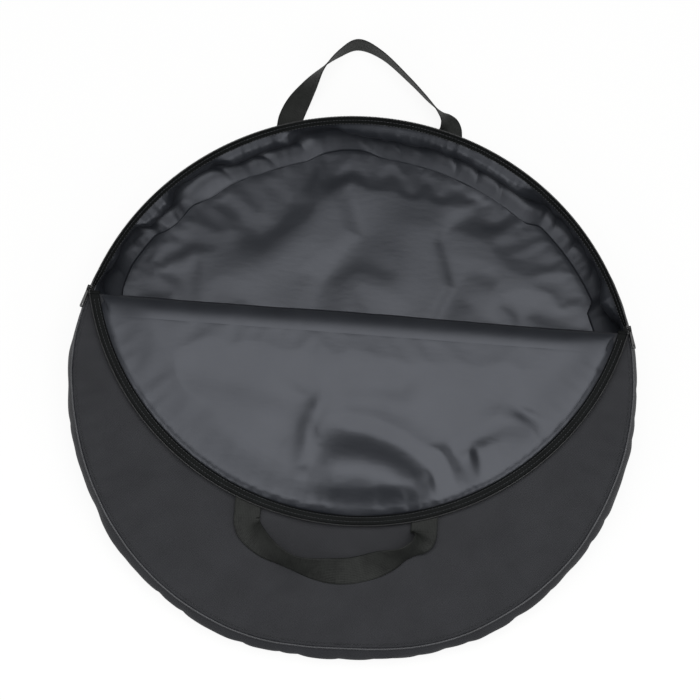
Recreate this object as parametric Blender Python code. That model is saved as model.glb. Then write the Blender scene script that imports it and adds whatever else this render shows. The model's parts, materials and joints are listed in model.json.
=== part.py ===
"""Round soft bag for one bicycle wheel, lying on its back with its flap folded open.

Metres, +Z up. The origin is the centre of the back panel's outer face, and the rear handle lies at +Y.
"""

import math

import bmesh
import bpy
from mathutils import Matrix, Vector

# Overall sizes of the bag
RIM_RADIUS = 0.4100  # the zip runs round the rim on this radius
BACK_INSET = 0.0120  # the back panel is this much smaller than the rim, in radius
BAG_DEPTH = 0.0850  # back panel's outer face to front panel's outer face, at the fold
NEAR_DEPTH = 0.0340  # the same where the bag lies lowest, opposite the zip
FOLD_OFFSET = 0.0920  # fold line of the flap, from the bag's centre

# Cloth thicknesses and gaps
SHELL = 0.0010
PADDING = 0.0040
LINING = 0.0008
GAP = 0.0003
WALL_GAP = 0.0005  # between the layers of the leaning side wall, measured along the radius

# Side wall
WALL_BASE_INSET = 0.0140  # how far the wall's lower edge lies inside the rim
WALL_TOP_INSET = 0.0020  # the same for its upper edge, under the front panel
WALL_BULGE = 0.0170  # how far the wall swells beyond the straight line between its edges
WALL_RISE_STEPS = 5
MOUTH_STEPS = 40  # round the zipped part of the rim
LOWER_STEPS = 54  # round the rest of it

# Front panel
FRONT_INSET = 0.0015  # the front panel is this much smaller than the rim, in radius
PIPING_RADIUS = 0.0012
FOLD_ROOM = 0.0070  # between front panel and folded flap, where the handle's ends lie
FOLD_STEPS = 8

# Zip
COIL_RADIUS = 0.0015
COIL_SIDES = 6
COIL_CLEARANCE = 0.0020  # between the two closed coils, where the slider's post runs
COIL_SINK = 0.0009  # centre of the flap's coil below the flap's outer face
TAPE = 0.0007
TAPE_VISIBLE = 0.0124
STOP_LENGTH = 0.0035

# Slider
SLIDER_LENGTH = 0.0120
SLIDER_NOSE_SHARE = 0.6  # width of the slider's ends, as a share of its middle
PLATE = 0.0012
PLATE_CLEARANCE = 0.0005  # from coil to plate
OUTER_PLATE_WIDTH = 0.0092
INNER_PLATE_WIDTH = 0.0060
POST_WIDTH = 0.0010
POST_LENGTH = 0.0050
BAIL_LENGTH = 0.0080
BAIL_WIDTH = 0.0016
BAIL_LEG = 0.0014
BAIL_TOP = 0.0012
SLIDER_REST_GAP = 0.0005  # from slider to end stop

# Pull
PULL_LENGTH = 0.0330
PULL_WIDTH = 0.0080
PULL_NECK = 0.0056
PULL_THICKNESS = 0.0016
PULL_HEIGHT = 0.0019  # its pivot above the slider's outer plate
PULL_SLOT_WIDTH = 0.0030
PULL_SLOT_LENGTH = 0.0050
PULL_HOLE_RADIUS = 0.0017
PULL_HOLE_INSET = 0.0055  # from the pull's tip
PULL_SIDES = 10

# Webbing
WEBBING = 0.0016
WEBBING_WIDTH = 0.0380
LOOP_STEPS = 28
TAIL_STEPS = 4
LOOP_POINTED_SHARE = 1.25  # above 1 the loop runs to a point, at 1 it is half an ellipse

# Rear handle
REAR_SPREAD = 0.2360  # between the middles of its two legs
REAR_PIVOT_OUTSET = 0.0090  # how far its bend line lies outside the rim
REAR_REACH = 0.1180
REAR_LEAN = -0.0120  # how far its crown lies to the left
REAR_TWIST = 84.0  # degrees, at the crown

# Front handle
FRONT_SPREAD = 0.2620
FRONT_PIVOT_INSET = 0.0040  # how far its bend line lies inside the rim, with the bag shut
FRONT_REACH = 0.1000
FRONT_LEAN = -0.0080
FRONT_TWIST = 48.0
FRONT_TAIL_LENGTH = 0.0950
TAIL_LIFT = 0.0009  # of the front handle's sewn ends over the flap's cloth

# Worked out from the sizes above
BACK_RADIUS = RIM_RADIUS - BACK_INSET
WALL_BASE_RADIUS = RIM_RADIUS - WALL_BASE_INSET
WALL_TOP_RADIUS = RIM_RADIUS - WALL_TOP_INSET
FRONT_RADIUS = RIM_RADIUS - FRONT_INSET
REAR_PIVOT = RIM_RADIUS + REAR_PIVOT_OUTSET
FRONT_PIVOT = RIM_RADIUS - FRONT_PIVOT_INSET
SLOPE = math.atan2(BAG_DEPTH - NEAR_DEPTH, RIM_RADIUS + FOLD_OFFSET)
STACK = SHELL + GAP + PADDING + GAP + LINING
MOUTH_ANGLE = math.acos(FOLD_OFFSET / RIM_RADIUS)
WALL_FOOT = SHELL + GAP + PADDING / 2
COIL_STEP = (2 * COIL_RADIUS + COIL_CLEARANCE) / math.sqrt(2)
FLAP_COIL_RADIUS = RIM_RADIUS - COIL_STEP
FLAP_COIL_Z = BAG_DEPTH - COIL_SINK
RIM_COIL_Z = FLAP_COIL_Z - COIL_STEP
TAPE_TOP = RIM_COIL_Z - COIL_RADIUS - GAP
TAPE_FOOT = TAPE_TOP - TAPE_VISIBLE
FLAP_TAPE_RADIUS = FLAP_COIL_RADIUS - COIL_RADIUS - GAP
FLAP_RADIUS = FLAP_TAPE_RADIUS - TAPE_VISIBLE
HINGE_Y = FOLD_OFFSET - math.tan(SLOPE / 2) * FOLD_ROOM / 2
HINGE_Z = BAG_DEPTH + FOLD_ROOM / 2
OPEN_ANGLE = math.pi + SLOPE
STOP_ANGLE = MOUTH_ANGLE - STOP_LENGTH / RIM_RADIUS
SLIDER_ANGLE = STOP_ANGLE - (SLIDER_REST_GAP + SLIDER_LENGTH / 2) / RIM_RADIUS
FLAP_ZIP_ANGLE = SLIDER_ANGLE - (SLIDER_LENGTH / 2 + COIL_RADIUS) / RIM_RADIUS
PLATE_OFFSET = COIL_RADIUS + PLATE_CLEARANCE
PULL_AXIS = PLATE_OFFSET + PLATE + PULL_HEIGHT
BAIL_HEIGHT = PULL_HEIGHT + PULL_THICKNESS / 2 + PLATE_CLEARANCE + BAIL_TOP
FRONT_HANDLE_FOOT = BAG_DEPTH + TAIL_LIFT  # the webbing's lower face, with the bag shut
REAR_HANDLE_FOOT = WALL_FOOT + GAP


def clear_scene():
    """Take out whatever the scene holds."""
    for thing in list(bpy.context.scene.objects):
        bpy.data.objects.remove(thing, do_unlink=True)


def finish(name, colour, roughness, metallic=0.0):
    """A plain material for one kind of piece."""
    found = bpy.data.materials.get(name) or bpy.data.materials.new(name)
    found.use_nodes = True
    surface = found.node_tree.nodes["Principled BSDF"]
    surface.inputs["Base Color"].default_value = (*colour, 1.0)
    surface.inputs["Roughness"].default_value = roughness
    surface.inputs["Metallic"].default_value = metallic
    return found


def outer_cloth():
    return finish("outer_polyester", (0.031, 0.032, 0.036), 0.62)


def lining_cloth():
    return finish("lining_satin", (0.090, 0.094, 0.100), 0.36)


def foam():
    return finish("padding_foam", (0.35, 0.35, 0.36), 0.90)


def tape_cloth():
    return finish("zip_tape", (0.016, 0.018, 0.018), 0.70)


def coil_nylon():
    return finish("zip_coil", (0.010, 0.010, 0.011), 0.35)


def piping_cloth():
    return finish("piping_cloth", (0.045, 0.046, 0.050), 0.55)


def webbing_cloth():
    return finish("webbing", (0.026, 0.026, 0.026), 0.75)


def black_metal():
    return finish("black_enamelled_zinc", (0.012, 0.012, 0.013), 0.30, 0.6)


def joint(name, place, turn=None, parent=None):
    """An empty on a joint's axis, which carries the pieces that turn about it."""
    empty = bpy.data.objects.new(name, None)
    bpy.context.collection.objects.link(empty)
    empty.parent = parent
    empty.matrix_local = Matrix.Translation(place) @ (turn or Matrix.Identity(4))
    return empty


def piece(name, mesh, material, parent=None):
    """A named piece from mesh data given in its parent's frame."""
    mesh.materials.append(material)
    mesh.shade_smooth()
    mesh.set_sharp_from_angle(angle=math.radians(35))
    made = bpy.data.objects.new(name, mesh)
    bpy.context.collection.objects.link(made)
    made.parent = parent
    return made


def mesh_from(name, shape):
    """Close a bmesh into mesh data with its faces pointing outwards."""
    bmesh.ops.recalc_face_normals(shape, faces=shape.faces[:])
    mesh = bpy.data.meshes.new(name)
    shape.to_mesh(mesh)
    shape.free()
    return mesh


def loft(name, sections, ring=False):
    """Skin equal closed sections in turn, with caps at the ends unless they form a ring."""
    shape = bmesh.new()
    loops = [[shape.verts.new(point) for point in section] for section in sections]
    pairs = list(zip(loops, loops[1:]))
    if ring:
        pairs.append((loops[-1], loops[0]))
    for near, far in pairs:
        for k in range(len(near)):
            shape.faces.new((near[k - 1], near[k], far[k], far[k - 1]))
    if not ring:
        shape.faces.new(loops[0])
        shape.faces.new(loops[-1])
    return mesh_from(name, shape)


def slab(name, outline, under, over):
    """A prism over an outline in plan, between two heights that may change with y."""
    shape = bmesh.new()
    low = [shape.verts.new((x, y, under(y))) for x, y in outline]
    high = [shape.verts.new((x, y, over(y))) for x, y in outline]
    shape.faces.new(low)
    shape.faces.new(high)
    for k in range(len(low)):
        shape.faces.new((low[k - 1], low[k], high[k], high[k - 1]))
    return mesh_from(name, shape)


def spread(first, last, steps):
    return [first + (last - first) * k / steps for k in range(steps + 1)]


def round_point(angle, radius, height):
    """A place on the bag, by its angle from +Y towards +X."""
    return Vector((radius * math.sin(angle), radius * math.cos(angle), height))


def mouth_angles():
    return spread(-MOUTH_ANGLE, MOUTH_ANGLE, MOUTH_STEPS)


def lower_angles():
    return spread(MOUTH_ANGLE, 2 * math.pi - MOUTH_ANGLE, LOWER_STEPS)


def swept(name, angles, section, ring=False):
    """A strip that follows the rim: section(angle) gives its (radius, height) points."""
    sections = [[round_point(angle, *point) for point in section(angle)] for angle in angles]
    return loft(name, sections, ring=ring)


def cord_section(radius, centre_radius, centre_height):
    """A round section in the (radius, height) plane."""
    turns = spread(0, 2 * math.pi, COIL_SIDES)[:-1]
    return [
        (centre_radius + radius * math.cos(turn), centre_height + radius * math.sin(turn)) for turn in turns
    ]


def front_height(y):
    """Height of the front panel's outer face, which falls from the fold to the near edge."""
    return BAG_DEPTH - (FOLD_OFFSET - y) * math.tan(SLOPE)


def wall_radius(share, top_radius):
    """Outer radius of the side wall, at a share of its height."""
    straight = WALL_BASE_RADIUS + (top_radius - WALL_BASE_RADIUS) * share
    return straight + WALL_BULGE * 4 * share * (1 - share)


def wall_section(top_radius, top_height, depth, thickness):
    """One layer of the side wall, its outer side set depth inside the wall's own."""
    shares = spread(0, 1, WALL_RISE_STEPS)
    outer = [
        (wall_radius(share, top_radius) - depth, WALL_FOOT + (top_height - WALL_FOOT) * share)
        for share in shares
    ]
    inner = [(radius - thickness, height) for radius, height in reversed(outer)]
    return outer + inner


def wall_layers():
    """Each layer of the side wall: its name, depth, thickness and material."""
    return [
        ("shell", 0, SHELL, outer_cloth()),
        ("lining", SHELL + WALL_GAP, LINING, lining_cloth()),
    ]


def build_side_wall():
    end_gap = GAP / RIM_RADIUS
    mouth = mouth_angles()
    lower = lower_angles()
    lower[0] += end_gap
    lower[-1] -= end_gap
    mouth_top_radius = RIM_RADIUS + SHELL / 2
    mouth_top = TAPE_FOOT - GAP
    for layer, depth, thickness, material in wall_layers():
        section = wall_section(mouth_top_radius, mouth_top, depth, thickness)
        upper_mesh = swept("gusset_upper_" + layer, mouth, lambda angle: section)
        piece("gusset_upper_" + layer, upper_mesh, material)
        lower_mesh = swept(
            "gusset_lower_" + layer,
            lower,
            lambda angle: wall_section(
                WALL_TOP_RADIUS,
                front_height(WALL_TOP_RADIUS * math.cos(angle)) - SHELL - GAP,
                depth,
                thickness,
            ),
        )
        piece("gusset_lower_" + layer, lower_mesh, material)


def panel_layers():
    """Layers of a padded panel, from its outer face inwards: name, depth, thickness, material."""
    return [
        ("shell", 0, SHELL, outer_cloth()),
        ("padding", SHELL + GAP, PADDING, foam()),
        ("lining", SHELL + GAP + PADDING + GAP, LINING, lining_cloth()),
    ]


def build_back():
    inner_radius = WALL_BASE_RADIUS - SHELL - WALL_GAP - LINING - GAP
    angles = mouth_angles() + lower_angles()[1:-1]
    for layer, depth, thickness, material in panel_layers():
        radius = BACK_RADIUS if layer == "shell" else inner_radius
        outline = [round_point(angle, radius, 0)[:2] for angle in angles]
        mesh = slab("back_" + layer, outline, under=lambda y: depth, over=lambda y: depth + thickness)
        piece("back_" + layer, mesh, material)
    seam = cord_section(PIPING_RADIUS, BACK_RADIUS + GAP + PIPING_RADIUS, WALL_FOOT - PIPING_RADIUS)
    piece("back_piping", swept("back_piping", angles, lambda angle: seam, ring=True), piping_cloth())


def chord_outline(radius, edge, lower):
    """The part of a disc on one side of the line y = edge."""
    turn = math.acos(edge / radius)
    if lower:
        angles = spread(turn, 2 * math.pi - turn, LOWER_STEPS)
    else:
        angles = spread(-turn, turn, MOUTH_STEPS)
    return [round_point(angle, radius, 0)[:2] for angle in angles]


def build_front():
    inner_radius = WALL_TOP_RADIUS - SHELL - WALL_GAP - LINING - 2 * GAP
    for layer, depth, thickness, material in panel_layers():
        radius = FRONT_RADIUS if layer == "shell" else inner_radius
        mesh = slab(
            "front_" + layer,
            chord_outline(radius, FOLD_OFFSET - GAP, lower=True),
            under=lambda y: front_height(y) - depth - thickness,
            over=lambda y: front_height(y) - depth,
        )
        piece("front_" + layer, mesh, material)

    def seam(angle):
        radius = FRONT_RADIUS + GAP + PIPING_RADIUS
        height = front_height(radius * math.cos(angle)) - GAP
        return cord_section(PIPING_RADIUS, radius, height)

    piece("front_piping", swept("front_piping", lower_angles(), seam), piping_cloth())


def build_rim_zip():
    """The half of the zip that is sewn to the side wall, with its end stops."""
    tape = [
        (RIM_RADIUS - TAPE / 2, TAPE_FOOT),
        (RIM_RADIUS + TAPE / 2, TAPE_FOOT),
        (RIM_RADIUS + TAPE / 2, TAPE_TOP),
        (RIM_RADIUS - TAPE / 2, TAPE_TOP),
    ]
    piece("rim_zip_tape", swept("rim_zip_tape", mouth_angles(), lambda angle: tape), tape_cloth())
    reach = STOP_ANGLE - GAP / RIM_RADIUS
    coil = cord_section(COIL_RADIUS, RIM_RADIUS, RIM_COIL_Z)
    angles = spread(-reach, reach, MOUTH_STEPS)
    piece("rim_zip_coil", swept("rim_zip_coil", angles, lambda angle: coil), coil_nylon())
    half = COIL_RADIUS
    corners = [(-half, -half), (half, -half), (half, half), (-half, half)]
    for name, first, last in (
        ("zip_end_stop_left", -MOUTH_ANGLE, -STOP_ANGLE),
        ("zip_end_stop_right", STOP_ANGLE, MOUTH_ANGLE),
    ):
        stop = [(RIM_RADIUS + across, RIM_COIL_Z + up) for across, up in corners]
        piece(name, swept(name, (first, last), lambda angle: stop), black_metal())


def build_fold():
    """The padded cloth that rolls over from the front panel into the open flap."""
    inner = FOLD_ROOM / 2
    outer = inner + STACK
    half_width = math.sqrt(FLAP_RADIUS**2 - FOLD_OFFSET**2) - GAP
    turns = spread(-math.pi / 2 + SLOPE, math.pi / 2 + SLOPE, FOLD_STEPS)
    around = [(outer * math.cos(turn), outer * math.sin(turn)) for turn in turns]
    around += [(inner * math.cos(turn), inner * math.sin(turn)) for turn in reversed(turns)]
    ends = [[(x, HINGE_Y + y, HINGE_Z + z) for y, z in around] for x in (-half_width, half_width)]
    piece("flap_fold_strip", loft("flap_fold_strip", ends), lining_cloth())


def hinge_frame(mesh):
    """Move mesh data made for the shut bag into the frame of the flap's fold."""
    mesh.transform(Matrix.Translation((0, -HINGE_Y, -HINGE_Z)))
    return mesh


def build_flap(fold):
    for layer, depth, thickness, material in panel_layers():
        top = BAG_DEPTH - depth
        outline = chord_outline(FLAP_RADIUS, FOLD_OFFSET + GAP, lower=False)
        mesh = slab("flap_" + layer, outline, under=lambda y: top - thickness, over=lambda y: top)
        piece("flap_" + layer, hinge_frame(mesh), material, fold)
    angles = spread(-FLAP_ZIP_ANGLE, FLAP_ZIP_ANGLE, MOUTH_STEPS)
    tape = [
        (FLAP_RADIUS + GAP, FLAP_COIL_Z - TAPE / 2),
        (FLAP_TAPE_RADIUS, FLAP_COIL_Z - TAPE / 2),
        (FLAP_TAPE_RADIUS, FLAP_COIL_Z + TAPE / 2),
        (FLAP_RADIUS + GAP, FLAP_COIL_Z + TAPE / 2),
    ]
    mesh = swept("flap_zip_tape", angles, lambda angle: tape)
    piece("flap_zip_tape", hinge_frame(mesh), tape_cloth(), fold)
    coil = cord_section(COIL_RADIUS, FLAP_COIL_RADIUS, FLAP_COIL_Z)
    mesh = swept("flap_zip_coil", angles, lambda angle: coil)
    piece("flap_zip_coil", hinge_frame(mesh), coil_nylon(), fold)
    for side, name in ((-1, "front_handle_end_left"), (1, "front_handle_end_right")):
        near = side * (FRONT_SPREAD - WEBBING_WIDTH) / 2
        far = side * (FRONT_SPREAD + WEBBING_WIDTH) / 2
        foot = FRONT_PIVOT - FRONT_TAIL_LENGTH
        lip = FRONT_PIVOT - GAP
        outline = [(near, foot), (far, foot), (far, lip), (near, lip)]
        low = FRONT_HANDLE_FOOT
        mesh = slab(name, outline, under=lambda y: low, over=lambda y: low + WEBBING)
        piece(name, hinge_frame(mesh), webbing_cloth(), fold)


def strap_loop(name, spread_between, reach, lean, twist, lift_side):
    """A webbing loop from two feet on the x axis out to a crown at y = reach.

    It turns on edge towards its crown, and rises on one side so that its lower edge stays level.
    It bends about the edge of its face on that side, so that its feet swing clear of the sewn ends.
    """
    half = spread_between / 2
    sections = []
    middles = []
    turns = []
    for share in spread(0, 1, LOOP_STEPS):
        out = math.sin(math.pi * share)
        turn = math.radians(twist) * out**2
        rise = lift_side * math.sin(turn) * WEBBING_WIDTH / 2
        x = -half * math.cos(math.pi * share) + lean * out
        middles.append(Vector((x, reach * out**LOOP_POINTED_SHARE, rise - lift_side * WEBBING / 2)))
        turns.append(turn)
    for k, middle in enumerate(middles):
        ahead = middles[min(k + 1, LOOP_STEPS)] - middles[max(k - 1, 0)]
        if k in (0, LOOP_STEPS):
            ahead = Vector((0, 1 if k == 0 else -1, 0))
        ahead.normalize()
        flat = ahead.cross(Vector((0, 0, 1))).normalized()
        # the strap leans inwards on both legs alike
        across = Matrix.Rotation(-lift_side * turns[k], 3, ahead) @ flat
        face = across.cross(ahead)
        wide = across * (WEBBING_WIDTH / 2)
        deep = face * (WEBBING / 2)
        sections.append([middle - wide - deep, middle + wide - deep, middle + wide + deep, middle - wide + deep])
    return loft(name, sections)


def build_front_handle(fold):
    place = (0, FRONT_PIVOT - HINGE_Y, FRONT_HANDLE_FOOT - HINGE_Z)
    pivot = joint("front_handle_pivot", place, parent=fold)
    mesh = strap_loop("front_handle", FRONT_SPREAD, FRONT_REACH, FRONT_LEAN, FRONT_TWIST, -1)
    piece("front_handle", mesh, webbing_cloth(), pivot)


def build_rear_handle():
    low = REAR_HANDLE_FOOT
    share = (low + WEBBING - WALL_FOOT) / (TAPE_FOOT - GAP - WALL_FOOT)
    seam_radius = wall_radius(share, RIM_RADIUS + SHELL / 2) + GAP
    for side, name in ((-1, "rear_handle_end_left"), (1, "rear_handle_end_right")):
        near = (REAR_SPREAD - WEBBING_WIDTH) / 2
        across = spread(near, near + WEBBING_WIDTH, TAIL_STEPS)
        rim = [(side * x, math.sqrt(seam_radius**2 - x**2)) for x in across]
        lip = [(side * x, REAR_PIVOT - GAP) for x in (across[-1], across[0])]
        mesh = slab(name, rim + lip, under=lambda y: low, over=lambda y: low + WEBBING)
        piece(name, mesh, webbing_cloth())
    pivot = joint("rear_handle_pivot", (0, REAR_PIVOT, low + WEBBING))
    mesh = strap_loop("rear_handle", REAR_SPREAD, REAR_REACH, REAR_LEAN, REAR_TWIST, 1)
    piece("rear_handle", mesh, webbing_cloth(), pivot)


def block(name, size, centre):
    """A box as a helper for a Boolean."""
    shape = bmesh.new()
    bmesh.ops.create_cube(shape, size=1)
    bmesh.ops.transform(
        shape, matrix=Matrix.Translation(centre) @ Matrix.Diagonal((*size, 1)), verts=shape.verts[:]
    )
    return mesh_from(name, shape)


def plate(name, outline, low, high):
    """A flat plate over an outline in its own x and y."""
    return slab(name, outline, under=lambda y: low, over=lambda y: high)


def combine(base, mesh, operation):
    """Join a helper shape to a piece, or cut it away."""
    helper = bpy.data.objects.new(base.name + "_helper", mesh)
    bpy.context.collection.objects.link(helper)
    helper.parent = base
    helper.hide_render = True
    helper.display_type = "WIRE"
    step = base.modifiers.new(operation.title(), "BOOLEAN")
    step.operation = operation
    step.object = helper
    step.solver = "EXACT"


def slider_plate_outline(width):
    """A slider plate in plan, wide in the middle and narrower at its ends."""
    long_half = SLIDER_LENGTH / 2
    short = width / 2 * SLIDER_NOSE_SHARE
    wide = width / 2
    bend = SLIDER_LENGTH / 4
    return [
        (-long_half, -short),
        (-bend, -wide),
        (bend, -wide),
        (long_half, -short),
        (long_half, short),
        (bend, wide),
        (-bend, wide),
        (-long_half, short),
    ]


def build_slider(side, name):
    """Slider on the rim's coil. Its own x runs along the zip and its z points out of the rim."""
    axle = joint(name + "_travel", (0, 0, 0))
    middle_radius = RIM_RADIUS - COIL_STEP / 2
    middle_height = RIM_COIL_Z + COIL_STEP / 2
    angle = side * SLIDER_ANGLE
    outward = round_point(angle, 1, 0)
    along = Vector((outward.y, -outward.x, 0)) * side
    up = (outward + Vector((0, 0, 1))).normalized()
    across = up.cross(along)
    seat = Matrix((along, across, up)).transposed().to_4x4()
    seat.translation = round_point(angle, middle_radius, middle_height)

    top = PLATE_OFFSET + PLATE
    body = piece(
        name, plate(name, slider_plate_outline(OUTER_PLATE_WIDTH), PLATE_OFFSET, top), black_metal(), axle
    )
    body.matrix_local = seat
    under = plate(name + "_under", slider_plate_outline(INNER_PLATE_WIDTH), -top, -PLATE_OFFSET)
    post_height = 2 * PLATE_OFFSET + PLATE
    combine(body, block(name + "_post", (POST_LENGTH, POST_WIDTH, post_height), (0, 0, 0)), "UNION")
    combine(body, under, "UNION")
    arch_depth = BAIL_HEIGHT + PLATE / 2
    arch_middle = top + BAIL_HEIGHT - arch_depth / 2
    arch = block(name + "_bail", (BAIL_LENGTH, BAIL_WIDTH, arch_depth), (0, 0, arch_middle))
    combine(body, arch, "UNION")
    eye_length = BAIL_LENGTH - 2 * BAIL_LEG
    eye_height = BAIL_HEIGHT - BAIL_TOP
    eye = block(name + "_eye", (eye_length, 2 * BAIL_WIDTH, eye_height), (0, 0, top + eye_height / 2 + GAP / 2))
    combine(body, eye, "DIFFERENCE")
    return axle, seat


def pull_outline():
    """A pull in plan, from its pivot end at the origin to its round tip along +x."""
    end = PULL_THICKNESS / 2
    tip = PULL_WIDTH / 2
    centre = PULL_LENGTH - end - tip
    neck = PULL_NECK / 2
    points = [(-end, -neck), (PULL_SLOT_LENGTH + end, -neck)]
    for turn in spread(-math.pi / 2, math.pi / 2, PULL_SIDES):
        points.append((centre + tip * math.cos(turn), tip * math.sin(turn)))
    points += [(PULL_SLOT_LENGTH + end, neck), (-end, neck)]
    return points


def build_pull(side, name, axle, seat):
    """Pull that hangs in the slider's bail and lies back towards the end of the zip."""
    half = PULL_THICKNESS / 2
    place = seat @ Matrix.Translation((0, 0, PULL_AXIS))
    pivot = joint(name + "_pivot", place.translation, place.to_3x3().to_4x4(), axle)
    body = piece(name, plate(name, pull_outline(), -half, half), black_metal(), pivot)
    slot_size = (PULL_SLOT_LENGTH, PULL_SLOT_WIDTH, 2 * PULL_THICKNESS)
    slot = block(name + "_slot", slot_size, (half + PULL_SLOT_LENGTH / 2, 0, 0))
    combine(body, slot, "DIFFERENCE")
    middle = PULL_LENGTH - half - PULL_HOLE_INSET
    turns = spread(0, 2 * math.pi, PULL_SIDES)[:-1]
    ring = [
        (middle + PULL_HOLE_RADIUS * math.cos(turn), PULL_HOLE_RADIUS * math.sin(turn)) for turn in turns
    ]
    combine(body, plate(name + "_hole", ring, -PULL_THICKNESS, PULL_THICKNESS), "DIFFERENCE")


def main():
    clear_scene()
    build_back()
    build_side_wall()
    build_front()
    build_rim_zip()
    build_fold()
    fold = joint("flap_fold_axis", (0, HINGE_Y, HINGE_Z), Matrix.Rotation(OPEN_ANGLE, 4, "X"))
    build_flap(fold)
    build_front_handle(fold)
    build_rear_handle()
    for side, word in ((-1, "left"), (1, "right")):
        axle, seat = build_slider(side, "slider_" + word)
        build_pull(side, "pull_" + word, axle, seat)


main()
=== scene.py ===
"""Round soft bag for one bicycle wheel, lying on its back with its flap folded open.

Metres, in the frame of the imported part: +Z up, the rear handle at +Y. What belongs to the flap is
worked out with the bag shut and then folded open about the hinge.
"""

import json
import math

import bpy
import numpy as np
from mathutils import Matrix, Vector, geometry, noise
from mathutils.bvhtree import BVHTree


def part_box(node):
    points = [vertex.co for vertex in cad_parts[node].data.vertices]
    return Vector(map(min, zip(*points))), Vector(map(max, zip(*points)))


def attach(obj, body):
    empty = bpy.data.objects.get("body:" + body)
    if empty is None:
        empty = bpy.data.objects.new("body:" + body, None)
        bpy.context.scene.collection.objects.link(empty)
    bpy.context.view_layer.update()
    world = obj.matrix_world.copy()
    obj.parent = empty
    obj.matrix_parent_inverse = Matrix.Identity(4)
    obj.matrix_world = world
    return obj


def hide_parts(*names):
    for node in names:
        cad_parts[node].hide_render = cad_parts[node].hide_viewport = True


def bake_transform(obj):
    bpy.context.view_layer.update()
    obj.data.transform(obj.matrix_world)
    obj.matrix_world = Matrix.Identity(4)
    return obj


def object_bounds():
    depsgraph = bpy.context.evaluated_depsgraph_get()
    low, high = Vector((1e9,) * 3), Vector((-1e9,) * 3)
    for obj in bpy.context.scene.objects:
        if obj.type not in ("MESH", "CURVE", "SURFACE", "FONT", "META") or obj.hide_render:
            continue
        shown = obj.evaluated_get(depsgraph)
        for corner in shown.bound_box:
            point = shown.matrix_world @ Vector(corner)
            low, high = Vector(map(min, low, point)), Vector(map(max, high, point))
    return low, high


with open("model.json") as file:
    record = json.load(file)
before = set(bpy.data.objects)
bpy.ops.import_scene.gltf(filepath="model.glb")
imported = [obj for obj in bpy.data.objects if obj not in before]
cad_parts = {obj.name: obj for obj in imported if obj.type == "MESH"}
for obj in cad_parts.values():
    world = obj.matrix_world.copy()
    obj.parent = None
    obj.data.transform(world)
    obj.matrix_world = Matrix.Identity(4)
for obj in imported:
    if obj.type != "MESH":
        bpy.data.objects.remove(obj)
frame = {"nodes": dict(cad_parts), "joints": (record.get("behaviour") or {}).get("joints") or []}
cad_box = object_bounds()
scene = bpy.context.scene

# Cloth thicknesses, as cut
OUTER_CLOTH = 0.0010
LINING_CLOTH = 0.0008
PANEL = 0.0074  # outer cloth, foam and lining together
MESH = 0.0060  # spacing of the points in a panel of cloth

# How a panel's cloth is settled, by simulation
CLOTH = {
    "quality": 6,
    "mass": 0.15,
    "tension_stiffness": 12,
    "compression_stiffness": 12,
    "shear_stiffness": 4,
    "bending_stiffness": 3.0,
    "pin_stiffness": 1.0,
    "use_pressure": True,
    "uniform_pressure_force": 0.4,
}
SETTLE_FRAMES = 16
PIN_INSIDE = 0.05  # how firmly a panel's cloth is held far from its seam
PIN_EDGE = 0.5  # and how much more so beside it
PIN_RUN = 0.02

# Zip
TAPE_CLOTH = 0.0007
TAPE_WIDTH = 0.0124
FILAMENT = 0.00042  # radius of the nylon that the coil is wound from
COIL_PITCH = 0.0022
COIL_STEPS = 8  # of a turn
COIL_RADIUS = 0.0015
COIL_GAP = 0.0020  # between the two closed coils
COIL_CORE = 0.55  # radius of the cord inside a coil, as a share of the coil's
TAPE_GAP = 0.0003
TAPE_ROWS = 6  # across the tape
TAPE_STEPS = 420  # and along it
TURN_STEPS = 18  # round the fold

# Webbing
WEBBING = 0.0016
WEBBING_WIDTH = 0.0380
SELVEDGE = 0.9  # from this share of its half width outwards it thins
SELVEDGE_THIN = 0.45

# Each handle's line from its left foot to its right one: how far across and out, as shares of half
# the spread and of the reach, and how far the webbing is turned on edge there, in degrees
REAR_SPREAD = 0.2470
REAR_MIDDLE = -0.0065
REAR_REACH = 0.1370
REAR_DROP = 0.0030
REAR_LINE_SHARES = [
    (-1.0, 0.0), (-0.985, 0.10), (-0.92, 0.26), (-0.80, 0.46), (-0.66, 0.67), (-0.46, 0.87), (-0.22, 1.0),
    (0.09, 0.89), (0.44, 0.62), (0.70, 0.39), (0.85, 0.26), (0.945, 0.175), (0.99, 0.09), (1.0, 0.0),
]
REAR_TURNS = [0, 2, 12, 38, 66, 84, 92, 86, 82, 78, 66, 42, 14, 0]
FRONT_SPREAD = 0.2560
FRONT_MIDDLE = -0.0090
FRONT_REACH = 0.0680
FRONT_DROP = 0.0036
FRONT_LINE_SHARES = [
    (-1.0, 0.0), (-0.992, 0.11), (-0.96, 0.25), (-0.88, 0.42), (-0.76, 0.61), (-0.60, 0.78), (-0.40, 0.93),
    (-0.15, 1.0), (0.14, 0.98), (0.36, 0.88), (0.58, 0.73), (0.77, 0.57), (0.90, 0.41), (0.975, 0.25),
    (0.998, 0.11), (1.0, 0.0),
]
FRONT_TURNS = [0, 0, 8, 24, 42, 60, 64, 42, 12, 8, 36, 66, 64, 38, 10, 0]
FRONT_TAIL_LENGTH = 0.0950  # of its sewn ends, under the flap
FRONT_BOXES = (0.0080, 0.0500)  # where the boxes of stitches begin, from the far end of a sewn end
FRONT_BOX_LENGTH = 0.0360
LOOP_STEPS = 8  # from each place of a line to the next

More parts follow.
